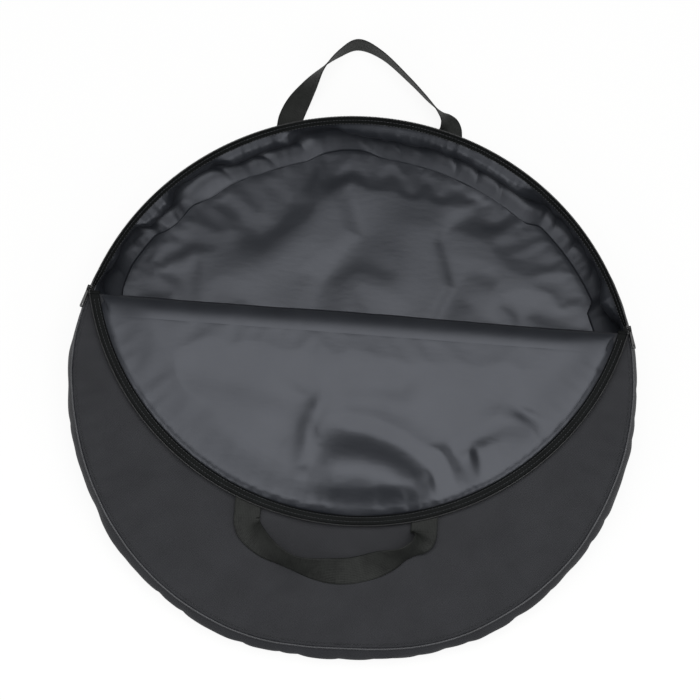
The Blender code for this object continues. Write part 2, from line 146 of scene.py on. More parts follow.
# Folds of the flap's lining, with the bag shut. Each one: its height as a share of the named one, its
# width to the right and to the left of its line, and the line, as shares of the flap's radius
FLAP_SWELL = 0.0058
FLAP_SWELL_RUN = 0.0360
FLAP_SEAM_RUN = 0.0400  # at the middle of the zip seam
FLAP_SIDE_RUN = 0.0700  # and at its ends
FLAP_FOLD_HEIGHT = 0.0082
FLAP_FOLD_SHARES = [
    (-0.86, 0.074, 0.080, [(-0.178, 0.690), (-0.121, 0.670), (-0.015, 0.654), (0.086, 0.665), (0.185, 0.703),
                           (0.271, 0.756), (0.335, 0.822), (0.376, 0.886)]),
    (0.98, 0.085, 0.090, [(-0.160, 0.852), (-0.060, 0.834), (0.052, 0.830), (0.165, 0.854), (0.260, 0.907)]),
    (0.34, 0.032, 0.038, [(-0.105, 0.532), (-0.121, 0.609), (-0.143, 0.702), (-0.159, 0.816)]),
    (-0.25, 0.060, 0.070, [(-0.172, 0.530), (-0.203, 0.601), (-0.228, 0.701)]),
    (-0.72, 0.070, 0.026, [(0.313, 0.711), (0.328, 0.763), (0.345, 0.837), (0.362, 0.925)]),
    (0.40, 0.026, 0.040, [(0.342, 0.698), (0.386, 0.736), (0.422, 0.786), (0.445, 0.844)]),
    (-0.66, 0.080, 0.030, [(0.463, 0.677), (0.485, 0.728), (0.512, 0.808), (0.523, 0.873)]),
    (0.28, 0.024, 0.030, [(0.435, 0.709), (0.458, 0.768), (0.482, 0.856)]),
    (0.30, 0.022, 0.026, [(0.304, 0.780), (0.338, 0.845), (0.379, 0.909)]),
    (-0.45, 0.018, 0.030, [(0.565, 0.544), (0.664, 0.578), (0.748, 0.613), (0.808, 0.635)]),
    (0.35, 0.050, 0.050, [(0.445, 0.628), (0.554, 0.601), (0.704, 0.627), (0.780, 0.659)]),
    (-0.40, 0.085, 0.085, [(-0.758, 0.483), (-0.547, 0.501), (-0.343, 0.534), (-0.171, 0.582)]),
    (-0.35, 0.055, 0.055, [(-0.110, 0.562), (0.006, 0.515), (0.176, 0.509)]),
    (-0.20, 0.026, 0.026, [(-0.866, 0.522), (-0.793, 0.577), (-0.733, 0.664)]),
    (-0.20, 0.026, 0.026, [(-0.811, 0.624), (-0.738, 0.687), (-0.652, 0.741)]),
]

# The same for the back panel's lining, as shares of its radius
BACK_FOLD_HEIGHT = 0.0028
BACK_FOLD_SHARES = [
    (1.0, 0.090, 0.090, [(-0.62, 0.40), (-0.40, 0.46), (-0.22, 0.60), (-0.16, 0.74)]),
    (-0.9, 0.060, 0.060, [(-0.52, 0.62), (-0.40, 0.60), (-0.30, 0.72)]),
    (-0.8, 0.040, 0.110, [(-0.06, 0.84), (-0.02, 0.62), (-0.14, 0.42), (-0.20, 0.20)]),
    (0.9, 0.100, 0.100, [(0.06, 0.30), (0.16, 0.46), (0.18, 0.66)]),
    (-0.9, 0.030, 0.080, [(0.34, 0.80), (0.30, 0.62), (0.36, 0.44), (0.30, 0.28)]),
    (0.8, 0.085, 0.085, [(0.44, 0.34), (0.52, 0.48), (0.50, 0.64)]),
    (-0.7, 0.055, 0.055, [(0.72, 0.44), (0.62, 0.34), (0.60, 0.20)]),
    (0.8, 0.110, 0.110, [(-0.30, -0.30), (0.05, -0.40), (0.40, -0.30)]),
    (-0.7, 0.100, 0.100, [(-0.45, -0.55), (-0.10, -0.65), (0.30, -0.58)]),
]

# Soft waves of each face: their height, a seed and their size
FRONT_WAVES = ((0.0022, 11, 0.13), (0.0008, 12, 0.045))
FLAP_WAVES = ((0.0011, 34, 0.12), (0.0002, 35, 0.03))
ROLL_WAVES = ((0.0009, 51, 0.18), (0.0003, 52, 0.04))

# Where the soft rim lies out of round with the bag shut: at how many degrees, how widely and how far out
RIM_SHIFTS = ((178, 17, -0.0137), (270, 9, 0.0026), (128, 13, 0.0024), (222, 15, 0.0018))

# Piping and thread
PIPING_RADIUS = 0.0013
SEAM_STEPS = 360  # along the front panel's seam
THREAD = 0.00045
STITCH = 0.0034
STITCH_GAP = 0.0014
STITCH_ARCH = (-0.6, 0.55, 0.8, 0.55, -0.6)  # height of the thread along a stitch, in its own radii

# Places, from the frame
joints = {entry["name"]: entry for entry in frame["joints"]}
HINGE = Vector(joints["flap_fold"]["pos_m"])
OPEN_ANGLE = math.radians(joints["flap_fold"]["range_deg"][1])
SLOPE = OPEN_ANGLE - math.pi
FRONT_PIVOT = Vector(joints["front_handle_swing"]["pos_m"])
REAR_PIVOT = Vector(joints["rear_handle_swing"]["pos_m"])
FOLD_OPEN = Matrix.Translation(HINGE) @ Matrix.Rotation(OPEN_ANGLE, 4, "X") @ Matrix.Translation(-HINGE)

rim_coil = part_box("rim_zip_coil")
RIM_RADIUS = rim_coil[1].y - COIL_RADIUS
RIM_COIL_Z = (rim_coil[0].z + rim_coil[1].z) / 2
BACK_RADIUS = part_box("back_shell")[1].y
WALL_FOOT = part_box("gusset_upper_shell")[0].z
WALL_BASE_RADIUS = BACK_RADIUS - 0.0020
WALL_BULGE = 0.0170
BACK_SHIFT = 0.7  # of the rim's shift out of round reaches the back panel's edge
LINING_FULLNESS = 0.0200  # how far the wall's loose lining stands in
FRONT_RADIUS = -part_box("front_shell")[0].y
TAPE_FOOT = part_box("rim_zip_tape")[0].z
FOLD_GAP = 0.0003  # the front panel's cloth ends this far short of the fold
FOLD_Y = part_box("front_shell")[1].y + FOLD_GAP
BAG_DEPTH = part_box("front_shell")[1].z
LINING_Z = BAG_DEPTH - PANEL
FLAP_COIL_Z = BAG_DEPTH - 0.0009
FLAP_COIL_RADIUS = RIM_RADIUS - (2 * COIL_RADIUS + COIL_GAP) / math.sqrt(2)
FLAP_RADIUS = FLAP_COIL_RADIUS - COIL_RADIUS - TAPE_GAP - TAPE_WIDTH
FLAP_HALF_WIDTH = math.sqrt(FLAP_RADIUS**2 - HINGE.y**2)  # of its lining, at the hinge
MOUTH_ANGLE = math.acos(FOLD_Y / RIM_RADIUS)
FOLD_INNER = HINGE.z - BAG_DEPTH  # radius inside the roll at the fold
FOLD_LAP = 0.0340  # the roll's cloth goes on over the flap's lining this far
FOLD_DROP = 0.0066  # the lining under it falls away this far to the hinge
FOLD_TUCK = 0.0005  # the roll's cloth ends this far under the lining's face
FOLD_TUCK_RUN = 0.0100
FOLD_CLOTH = 0.0012
FOLD_OUT = 0.0010  # the roll's edge lies this far past the hinge
FOLD_BOW = 0.0016  # and bows out so much more in its middle
FOLD_BOW_RUN = 0.2000
FOLD_FOOT = 0.0040  # its lower end runs this far over the front panel's lining
REACH = 0.1000  # of a ray that looks for the lining's face
ZIP_TURN_RISE = 0.0016  # of the zip over the inside of the roll, where it turns round the fold


# Small tools


def clamp(value):
    return max(0.0, min(1.0, value))


def smooth(value):
    """0 below 0, 1 above 1, with soft ends between."""
    value = clamp(value)
    return value * value * (3 - 2 * value)


def spread(first, last, steps):
    return [first + (last - first) * k / steps for k in range(steps + 1)]


def round_point(angle, radius, height):
    """A place on the bag, by its angle from +Y towards +X."""
    return Vector((radius * math.sin(angle), radius * math.cos(angle), height))


def rough(x, y, z, scale):
    """Soft noise between about -1 and 1, with features of the given size in metres."""
    return noise.noise(Vector((x, y, z)) / scale)


def crease(x, y, z, scale):
    """Noise with sharp ridges, 1 on a ridge and 0 far from it."""
    return (1 - min(1.0, abs(rough(x, y, z, scale)) * 3)) ** 2


def soft_waves(x, y, waves):
    return sum(height * rough(x, y, seed, size) for height, seed, size in waves)


def beside_line(x, y, line):
    """Distance of a place from a line, positive to the left of it, and its share of the way along."""
    parts = len(line) - 1
    found = []
    for k in range(parts):
        (first_x, first_y), (last_x, last_y) = line[k], line[k + 1]
        run_x, run_y = last_x - first_x, last_y - first_y
        share = clamp(((x - first_x) * run_x + (y - first_y) * run_y) / (run_x**2 + run_y**2))
        off_x, off_y = x - first_x - run_x * share, y - first_y - run_y * share
        side = math.copysign(1, run_x * off_y - run_y * off_x)
        found.append((math.hypot(off_x, off_y), side, (k + share) / parts))
    apart, side, along = min(found)
    return apart * side, along


def fold_height(folds, radius, height, x, y):
    """Height of a lining's main folds at a place."""
    total = 0.0
    for rise_share, right_share, left_share, line in folds:
        apart, along = beside_line(x / radius, y / radius, line)
        width = left_share if apart > 0 else right_share
        total += height * rise_share * smooth(along * 3) * math.exp(-((apart / width) ** 2))
    return total


def lining_rise(x, y):
    """How far the flap's lining stands out over its edge: swollen by its foam, and folded."""
    height = FLAP_SWELL + fold_height(FLAP_FOLD_SHARES, FLAP_RADIUS, FLAP_FOLD_HEIGHT, x, y)
    from_fold = smooth((y - FOLD_Y) / FLAP_SWELL_RUN)
    run = FLAP_SEAM_RUN + (FLAP_SIDE_RUN - FLAP_SEAM_RUN) * smooth(1.25 * abs(x) / FLAP_RADIUS)
    from_seam = smooth((FLAP_RADIUS - math.hypot(x, y)) / run)
    return max(height, 0.0) * from_fold * from_seam


def seam_shift(angle):
    """How far the soft rim lies out of round where the bag is shut: flattened at its near edge."""
    shift = 0.0
    for place, width, out in RIM_SHIFTS:
        apart = (math.degrees(angle) - place + 180) % 360 - 180
        shift += out * math.exp(-((apart / width) ** 2))
    return shift * (1 - mouth_share(angle))


def front_edge(angle):
    """Radius of the front panel's outline."""
    return FRONT_RADIUS + seam_shift(angle)


def front_height(y):
    """Height of the front panel's outer face, which falls from the fold to the near edge."""
    return BAG_DEPTH - (FOLD_Y - y) * math.tan(SLOPE)


def folded(point):
    """A place on the flap, from where it is with the bag shut to where it lies open."""
    return FOLD_OPEN @ Vector(point)


# Materials


def linear(code):
    """An sRGB hex colour as linear RGBA."""
    parts = [int(code[k : k + 2], 16) / 255 for k in (1, 3, 5)]
    return (*[c / 12.92 if c <= 0.04045 else ((c + 0.055) / 1.055) ** 2.4 for c in parts], 1.0)


def add(tree, kind, settings=None, **links):
    """Add a node, set its properties, sockets or colour stops, and link its inputs."""
    node = tree.nodes.new("ShaderNode" + kind)
    for key, value in (settings or {}).items():
        if key == "stops":
            for stop, (place, colour) in zip(node.color_ramp.elements, value):
                stop.position = place
                stop.color = linear(colour)
        elif isinstance(key, str) and hasattr(node, key):
            setattr(node, key, value)
        else:
            node.inputs[key].default_value = value
    for key, source in links.items():
        slot = int(key[1:]) if key[0] == "i" and key[1:].isdigit() else key.replace("_", " ")
        tree.links.new(source, node.inputs[slot])
    return node


def start_material(name, settings):
    """A new material with its shader's own values set."""
    made = bpy.data.materials.new(name)
    made.use_nodes = True
    for key, value in settings.items():
        made.node_tree.nodes["Principled BSDF"].inputs[key].default_value = value
    return made, made.node_tree


def end_material(made, shade, dark, light, relief=None, strength=0.0, depth=0.0):
    """Colour a material by its shade, from dark to light, and raise its surface by its relief."""
    tree = made.node_tree
    shader = tree.nodes["Principled BSDF"]
    colour = add(tree, "ValToRGB", {"stops": [dark, light]}, Fac=shade).outputs["Color"]
    tree.links.new(colour, shader.inputs["Base Color"])
    if relief:
        bump = add(tree, "Bump", {"Strength": strength, "Distance": depth}, Height=relief)
        tree.links.new(bump.outputs[0], shader.inputs["Normal"])
    return made


def woven(name, dark, light, thread, roughness, depth, sheen=0.0, specular=0.5):
    """Plain weave: threads run along both directions of the cloth's own map, in metres."""
    made, tree = start_material(
        name, {"IOR": 1.5, "Roughness": roughness, "Sheen Weight": sheen, "Specular IOR Level": specular}
    )
    place = add(tree, "UVMap", {"uv_map": "cloth"}).outputs["UV"]
    apart = add(tree, "SeparateXYZ", Vector=place)
    waves = []
    for axis in "XY":
        turned = add(tree, "Math", {"operation": "MULTIPLY", 1: math.pi / thread}, i0=apart.outputs[axis])
        waves.append(add(tree, "Math", {"operation": "SINE"}, i0=turned.outputs[0]).outputs[0])
    over = add(tree, "Math", {"operation": "MULTIPLY"}, i0=waves[0], i1=waves[1]).outputs[0]
    threads = add(tree, "MapRange", {"From Min": -1.0}, Value=over).outputs[0]
    patches = add(tree, "TexNoise", {"Scale": 20.0, "Detail": 3.0}, Vector=place).outputs["Fac"]
    shade = add(tree, "Math", {"operation": "MULTIPLY_ADD", 1: 0.35}, i0=threads, i2=patches).outputs[0]
    return end_material(made, shade, (0.35, dark), (0.95, light), threads, 0.5, depth)


def outer_polyester():
    """600 denier polyester, plain woven and coated on its back: matt, with a faint grain.

    The threads are 0.5 mm apart, drawn at 2.2 mm so that they show.
    """
    return woven(
        "outer_polyester_plain_woven", "#1a1b1f", "#232428", 0.0022, 0.68, 0.00025, sheen=0.03, specular=0.3
    )


def lining_taffeta():
    """210 denier nylon taffeta with a calendered face: dark, smooth and satin, with small creases."""
    tint = linear("#f0f4ff")
    made, tree = start_material(
        "lining_nylon_taffeta_calendered",
        {"IOR": 1.53, "Roughness": 0.36, "Specular IOR Level": 0.5, "Specular Tint": tint},
    )
    place = add(tree, "UVMap", {"uv_map": "cloth"}).outputs["UV"]
    broad = add(tree, "TexNoise", {"Scale": 14.0, "Detail": 3.0}, Vector=place).outputs["Fac"]
    stretched = add(tree, "Mapping", {"Scale": (1.0, 2.6, 1.0)}, Vector=place).outputs[0]
    small = add(tree, "TexNoise", {"Scale": 55.0, "Detail": 5.0}, Vector=stretched).outputs["Fac"]
    fine = add(tree, "TexNoise", {"Scale": 420.0, "Detail": 2.0}, Vector=place).outputs["Fac"]
    relief = add(tree, "Math", {"operation": "MULTIPLY_ADD", 1: 0.08}, i0=fine, i2=small).outputs[0]
    return end_material(made, broad, (0.3, "#191b1f"), (0.7, "#222428"), relief, 0.3, 0.0006)


def zip_tape():
    """Woven polyester zip tape, dyed black: matt, with a close weave drawn at 1.6 mm."""
    return woven("zip_tape_polyester_woven", "#0b0c0c", "#151717", 0.0016, 0.78, 0.0002, specular=0.1)


def zip_coil():
    """Nylon filament wound into a coil: near black with a soft gloss."""
    made, tree = start_material("zip_coil_nylon_wound", {"IOR": 1.53, "Roughness": 0.34})
    grain = add(tree, "TexNoise", {"Scale": 300.0, "Detail": 2.0}).outputs["Fac"]
    return end_material(made, grain, (0.3, "#0d0e0f"), (0.7, "#18191a"))


def webbing_tape():
    """Polypropylene webbing: fine ribs run along it, 2 mm apart, crossed by its weft."""
    made, tree = start_material(
        "webbing_polypropylene_woven", {"IOR": 1.49, "Roughness": 0.64, "Specular IOR Level": 0.25}
    )
    place = add(tree, "UVMap", {"uv_map": "cloth"}).outputs["UV"]
    apart = add(tree, "SeparateXYZ", Vector=place)
    heights = []
    for axis, pitch in (("X", 0.0042), ("Y", 0.0024)):
        turned = add(tree, "Math", {"operation": "MULTIPLY", 1: 2 * math.pi / pitch}, i0=apart.outputs[axis])
        heights.append(add(tree, "Math", {"operation": "SINE"}, i0=turned.outputs[0]).outputs[0])
    weft = add(tree, "Math", {"operation": "MULTIPLY", 1: 0.35}, i0=heights[0]).outputs[0]
    both = add(tree, "Math", {"operation": "ADD"}, i0=weft, i1=heights[1]).outputs[0]
    ribs = add(tree, "MapRange", {"From Min": -1.35, "From Max": 1.35}, Value=both).outputs[0]
    wear = add(tree, "TexNoise", {"Scale": 60.0, "Detail": 3.0}, Vector=place).outputs["Fac"]
    shade = add(tree, "Math", {"operation": "MULTIPLY_ADD", 1: 0.5}, i0=ribs, i2=wear).outputs[0]
    return end_material(made, shade, (0.4, "#101110"), (1.0, "#222422"), ribs, 0.7, 0.0004)


def piping_cloth():
    """Polyester cut on the bias over a cord: smooth, and lighter than the body cloth all over, as painted highlight
    along the cord.
    """
    # The light colour #3c3d41 is painted highlight along the piping's cord.
    return woven("piping_polyester_bias_cut", "#26272a", "#3c3d41", 0.0018, 0.5, 0.0001, specular=0.6)


def sewing_thread():
    """Spun polyester thread: dull, a shade lighter than the cloth."""
    made, tree = start_material("thread_polyester_spun", {"IOR": 1.5, "Roughness": 0.6})
    twist = add(tree, "TexNoise", {"Scale": 900.0, "Detail": 1.0}).outputs["Fac"]
    return end_material(made, twist, (0.3, "#202123"), (0.7, "#36383b"))


def enamelled_zinc():
    """Die-cast zinc, sprayed with black enamel: smooth and glossy, with a faint orange peel."""
    made, tree = start_material(
        "zinc_die_cast_black_enamel", {"IOR": 1.5, "Roughness": 0.26, "Coat Weight": 0.4, "Coat Roughness": 0.12}
    )
    peel = add(tree, "TexNoise", {"Scale": 700.0, "Detail": 2.0}).outputs["Fac"]
    return end_material(made, peel, (0.35, "#0b0b0c"), (0.75, "#151516"), peel, 0.2, 0.0001)


FINISHES = {
    "outer_polyester": outer_polyester(),
    "lining_satin": lining_taffeta(),
    "zip_tape": zip_tape(),
    "zip_coil": zip_coil(),
    "webbing": webbing_tape(),
    "piping_cloth": piping_cloth(),
}
SEWING = sewing_thread()
METAL = enamelled_zinc()


# Meshes


def new_object(name, data):
    thing = bpy.data.objects.new(name, data)
    scene.collection.objects.link(thing)
    return thing


def mesh_piece(name, points, faces, slot, uv=None, material=None):
    """A mesh object in its slot's finish, or in another, with a map in metres for its weave."""
    mesh = bpy.data.meshes.new(name)
    mesh.from_pydata([tuple(point) for point in points], [], [tuple(face) for face in faces])
    mesh.materials.append(material or FINISHES[slot])
    layer = mesh.uv_layers.new(name="cloth")
    if uv is not None:
        corners = np.empty(len(mesh.loops), dtype=np.int32)
        mesh.loops.foreach_get("vertex_index", corners)
        layer.data.foreach_set("uv", np.asarray(uv, dtype=np.float32)[corners].ravel())
    mesh.update()
    mesh.shade_smooth()
    thing = new_object(name, mesh)
    return thing


def stand_in(thing, body, *nodes):
    """Let a piece stand for CAD nodes, and ride on their body."""
    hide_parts(*nodes)
    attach(thing, body)


def grid_normals(grid, wrap):
    along = np.roll(grid, -1, 1) - np.roll(grid, 1, 1)
    if not wrap:
        along[:, 0] = grid[:, 1] - grid[:, 0]
        along[:, -1] = grid[:, -1] - grid[:, -2]
    normal = np.cross(along, np.gradient(grid, axis=0))
    return normal / np.maximum(np.linalg.norm(normal, axis=-1, keepdims=True), 1e-12)


def sheet(name, grid, uv, thickness, slot, wrap=False):
    """A closed sheet of cloth: the grid is its face, and its back lies the thickness behind."""
    grid = np.asarray(grid, dtype=float)
    rows, columns = grid.shape[:2]
    back = grid - grid_normals(grid, wrap) * thickness
    points = np.concatenate([grid.reshape(-1, 3), back.reshape(-1, 3)])
    flat = np.asarray(uv, dtype=float).reshape(-1, 2)

    def at(side, row, column):
        return side * rows * columns + row * columns + column % columns

    faces = []
    for column in range(columns if wrap else columns - 1):
        ahead = column + 1
        for row in range(rows - 1):
            faces.append([at(0, row, column), at(0, row, ahead), at(0, row + 1, ahead), at(0, row + 1, column)])
            faces.append([at(1, row, column), at(1, row + 1, column), at(1, row + 1, ahead), at(1, row, ahead)])
        faces.append([at(1, 0, column), at(1, 0, ahead), at(0, 0, ahead), at(0, 0, column)])
        last = rows - 1
        faces.append([at(0, last, column), at(0, last, ahead), at(1, last, ahead), at(1, last, column)])
    if not wrap:
        for row in range(rows - 1):
            faces.append([at(0, row, 0), at(0, row + 1, 0), at(1, row + 1, 0), at(1, row, 0)])
            last = columns - 1
            faces.append([at(1, row, last), at(1, row + 1, last), at(0, row + 1, last), at(0, row, last)])
    return mesh_piece(name, points, faces, slot, np.concatenate([flat, flat]))


def band_faces(sections, sides, ring=False):
    """Faces along a row of equal cross sections, with closed ends unless the row forms a ring."""
    faces = []
    for k in range(sections if ring else sections - 1):
        near, far = k * sides, (k + 1) % sections * sides
        for turn in range(sides):
            after = (turn + 1) % sides
            faces.append([near + turn, near + after, far + after, far + turn])
    if not ring:
        faces.append(list(range(sides))[::-1])
        faces.append(list(range((sections - 1) * sides, sections * sides)))
    return faces


def tube_parts(path, radius, sides, ring=False):
    """Points and faces of a round cord along a path."""
    path = np.asarray(path, dtype=float)
    ahead = np.roll(path, -1, 0) - np.roll(path, 1, 0)
    if not ring:
        ahead[0] = path[1] - path[0]
        ahead[-1] = path[-1] - path[-2]
    ahead /= np.maximum(np.linalg.norm(ahead, axis=1, keepdims=True), 1e-12)
    guide = np.where(np.abs(ahead[:, 2:3]) > 0.9, [[1.0, 0.0, 0.0]], [[0.0, 0.0, 1.0]])
    side = np.cross(ahead, guide)
    side /= np.linalg.norm(side, axis=1, keepdims=True)
    up = np.cross(side, ahead)
    turns = np.linspace(0, 2 * math.pi, sides, endpoint=False)
    points = (
        path[:, None]
        + side[:, None] * (np.cos(turns) * radius)[None, :, None]
        + up[:, None] * (np.sin(turns) * radius)[None, :, None]
    )
    return points.reshape(-1, 3), band_faces(len(path), sides, ring)


def join_parts(parts):
    points, faces = [], []
    base = 0
    for more, shapes in parts:
        points.append(more)
        faces.extend([[index + base for index in shape] for shape in shapes])
        base += len(more)
    return np.concatenate(points), faces


def cord(name, path, radius, sides, slot, ring=False):
    points, faces = tube_parts(path, radius, sides, ring)
    lengths = np.concatenate([[0], np.cumsum(np.linalg.norm(np.diff(path, axis=0), axis=1))])
    around = 2 * math.pi * radius / sides
    uv = [(lengths[k // sides], k % sides * around) for k in range(len(points))]
    return mesh_piece(name, points, faces, slot, uv)


def walk(path, step):
    """Points a step apart along a path."""
    path = np.asarray(path, dtype=float)
    lengths = np.concatenate([[0], np.cumsum(np.linalg.norm(np.diff(path, axis=0), axis=1))])
    places = np.linspace(0, lengths[-1], max(2, int(lengths[-1] / step) + 1))
    return np.stack([np.interp(places, lengths, path[:, axis]) for axis in range(3)], axis=1)


def stitches(name, paths, slot, lift=(0, 0, 1)):
    """Rows of short stitches, each a small arch of thread that dips into the cloth at its ends."""
    parts = []
    up = np.asarray(lift, dtype=float)
    for path in paths:
        knots = walk(path, STITCH + STITCH_GAP)
        for first, last in zip(knots, knots[1:]):
            run = last - first
            run *= STITCH / (STITCH + STITCH_GAP)
            line = [first + run * share + up * THREAD * high for share, high in zip(spread(0, 1, 4), STITCH_ARCH)]
            parts.append(tube_parts(line, THREAD, 5))
    points, faces = join_parts(parts)
    return mesh_piece(name, points, faces, slot, material=SEWING)


def helix(path, radius):
    """A coil wound along a path."""
    places = walk(path, COIL_PITCH / COIL_STEPS)
    ahead = np.gradient(places, axis=0)
    ahead /= np.linalg.norm(ahead, axis=1, keepdims=True)
    side = np.cross(ahead, [0.0, 0.0, 1.0])
    side /= np.linalg.norm(side, axis=1, keepdims=True)
    up = np.cross(side, ahead)
    turns = np.arange(len(places)) * 2 * math.pi / COIL_STEPS
    return places + side * (np.cos(turns) * radius)[:, None] + up * (np.sin(turns) * radius)[:, None]


def fill_outline(outline, spacing, inside):
    """Points and triangles that fill an outline evenly. The outline's points come first."""
    points = [Vector(point) for point in outline]
    count = len(points)
    low = np.min(outline, axis=0)
    high = np.max(outline, axis=0)
    row_step = spacing * math.sqrt(0.75)
    for row in range(int((high[1] - low[1]) / row_step) + 1):
        y = low[1] + row * row_step
        shift = spacing / 2 if row % 2 else 0
        for column in range(int((high[0] - low[0]) / spacing) + 1):
            x = low[0] + shift + column * spacing
            if inside(x, y) > spacing * 0.55:
                points.append(Vector((x, y)))
    edges = [(k, (k + 1) % count) for k in range(count)]
    filled = geometry.delaunay_2d_cdt(points, edges, [], 1, 1e-6)
    return np.array([tuple(point) for point in filled[0]]), [list(face) for face in filled[2]]


def settle(thing, hold, growth, cap):
    """Cloth simulation: the cloth grows a little against its pins, and so swells and creases.

    No point moves further than the cap.
    """
    start = np.array([vertex.co for vertex in thing.data.vertices])
    pins = thing.vertex_groups.new(name="pins")
    for index, weight in enumerate(hold):
        pins.add([index], float(weight), "REPLACE")
    modifier = thing.modifiers.new("settle", "CLOTH")
    cloth = modifier.settings
    for key, value in CLOTH.items():
        setattr(cloth, key, value)
    cloth.vertex_group_mass = "pins"
    cloth.shrink_min = -growth
    cloth.effector_weights.gravity = 0
    modifier.point_cache.frame_start = 1
    modifier.point_cache.frame_end = SETTLE_FRAMES
    for step in range(1, SETTLE_FRAMES + 1):
        scene.frame_set(step)
    seen = thing.evaluated_get(bpy.context.evaluated_depsgraph_get())
    moved = np.array([vertex.co for vertex in seen.data.vertices]) - start
    size = np.linalg.norm(moved, axis=1, keepdims=True)
    moved *= np.minimum(1.0, cap / np.maximum(size, 1e-9))
    for vertex, place in zip(thing.data.vertices, start + moved):
        vertex.co = place
    thing.modifiers.remove(modifier)
    thing.vertex_groups.remove(pins)
    scene.frame_set(1)


def soft_panel(name, slot, area, rise, place, thickness, growth, cap, facing=1):
    """A padded panel: its face is filled evenly, shaped by rise, settled as cloth and closed behind.

    The area is its outline, and inside(x, y), how far inside it a point is. rise(x, y, edge) gives
    the height of the face over its flat place, edge being that distance, and place(x, y, height)
    puts it on the bag.
    """
    outline, inside = area
    flat, triangles = fill_outline(outline, MESH, inside)
    edges = np.array([max(0.0, inside(x, y)) for x, y in flat])
    heights = np.array([rise(x, y, edge) for (x, y), edge in zip(flat, edges)])
    points = [(x, y, height) for (x, y), height in zip(flat, heights)]
    thing = mesh_piece(name, points, triangles, slot, flat)
    hold = [
        1.0 if edge < MESH * 0.5 else PIN_INSIDE + PIN_EDGE * math.exp(-edge / PIN_RUN) for edge in edges
    ]
    settle(thing, hold, growth, cap)
    face = np.array([vertex.co for vertex in thing.data.vertices])
    bpy.data.objects.remove(thing)
    face, triangles = finer(face, triangles)
    flat = face[:, :2]
    back = face.copy()
    back[:, 2] = np.minimum(face[:, 2] - LINING_CLOTH, -thickness)
    count = len(face)
    points = [place(*point) for point in face] + [place(*point) for point in back]
    faces = [shape[::facing] for shape in triangles]
    faces += [[index + count for index in shape[::-facing]] for shape in triangles]
    borders = boundary_edges(triangles)
    faces += [[first, first + count, last + count, last][::facing] for first, last in borders]
    return mesh_piece(name, points, faces, slot, np.concatenate([flat, flat]))


def finer(points, triangles):
    """Cut each triangle in four and round the surface off, with its outline kept."""
    sides = {}
    for shape in triangles:
        for k in range(3):
            pair = (min(shape[k - 1], shape[k]), max(shape[k - 1], shape[k]))
            sides.setdefault(pair, []).append(shape[k - 2])
    pairs = list(sides)
    place = {pair: len(points) + k for k, pair in enumerate(pairs)}
    middles = []
    around = [[] for _ in points]
    border = set()
    for pair in pairs:
        ends = points[pair[0]] + points[pair[1]]
        across = sides[pair]
        around[pair[0]].append(pair[1])
        around[pair[1]].append(pair[0])
        if len(across) == 2:
            middles.append(ends * 0.375 + (points[across[0]] + points[across[1]]) * 0.125)
        else:
            border.update(pair)
            middles.append(ends * 0.5)
    kept = points.copy()
    for k, near in enumerate(around):
        if near and k not in border:
            kept[k] = points[k] * 0.625 + points[near].mean(0) * 0.375
    made = []
    for a, b, c in triangles:
        ab, bc, ca = (place[(min(pair), max(pair))] for pair in ((a, b), (b, c), (c, a)))
        made += [[a, ab, ca], [ab, b, bc], [ca, bc, c], [ab, bc, ca]]
    return np.concatenate([kept, np.array(middles)]), made


def boundary_edges(triangles):
    """Edges of only one triangle, each in that triangle's direction."""
    seen = {}
    for shape in triangles:
        for k, first in enumerate(shape):
            pair = (first, shape[(k + 1) % len(shape)])
            seen[frozenset(pair)] = None if frozenset(pair) in seen else pair
    return [pair for pair in seen.values() if pair]


# The bag's round outlines


def segment(radius_at, chord, lower, gap=0.0):
    """The part of a round panel on one side of the line y = chord, as an area to fill.

    The outline's own straight edge lies a gap below that line.
    """
    edge = chord - gap
    turn = math.acos(edge / radius_at(math.pi / 2 if lower else 0))
    first, last = (turn, 2 * math.pi - turn) if lower else (-turn, turn)
    steps = int((last - first) * RIM_RADIUS / MESH)
    arc = [tuple(round_point(angle, radius_at(angle), 0)[:2]) for angle in spread(first, last, steps)]
    straight = spread(arc[-1][0], arc[0][0], int(abs(arc[0][0] - arc[-1][0]) / MESH))[1:-1]
    side = -1 if lower else 1
    return (
        arc + [(x, edge) for x in straight],
        lambda x, y: min(radius_at(math.atan2(x, y)) - math.hypot(x, y), side * (y - chord)),
    )


def mouth_share(angle):
    """1 round the mouth, 0 round the closed part of the rim, with a soft change between."""
    angle = abs((angle + math.pi) % (2 * math.pi) - math.pi)
    return smooth((MOUTH_ANGLE - angle) / math.radians(3) + 0.5)


def wall_top(angle):
    """Where the side wall's outer cloth ends: its radius and height."""
    mouth = mouth_share(angle)
    low_radius = front_edge(angle) - 0.0006
    low_height = front_height(low_radius * math.cos(angle)) - 0.0014
    return (
        low_radius + (RIM_RADIUS - 0.0010 - low_radius) * mouth,
        low_height + (TAPE_FOOT - low_height) * mouth,
    )


def wall_profile(angle, share):
    """The side wall's outer face at a share of its height: radius and height."""
    radius, height = wall_top(angle)
    base = WALL_BASE_RADIUS + seam_shift(angle) * BACK_SHIFT
    straight = base + (radius - base) * share
    bulge = WALL_BULGE * 4 * share * (1 - share) * (1 + 0.18 * (1 - 2 * share))
    return straight + bulge, WALL_FOOT + (height - WALL_FOOT) * share


def wall_wave(angle, share):
    """How far soft waves and seam puckers push the outer wall out or in."""
    x, y = 0.41 * math.sin(angle), 0.41 * math.cos(angle)
    belly = math.sin(math.pi * share)
    waves = 0.0026 * rough(x, y, share * 0.05, 0.09) + 0.0016 * rough(x, y, share * 0.09 + 3, 0.035)
    puckers = 0.0011 * rough(x, y, 9, 0.011) * (math.exp(-share / 0.16) + math.exp((share - 1) / 0.16))
    slant = 0.0022 * (crease(x, y + share * 0.04, 5, 0.06) - 0.25)
    return belly * (waves - slant) + puckers * min(1, 8 * share * (1 - share))


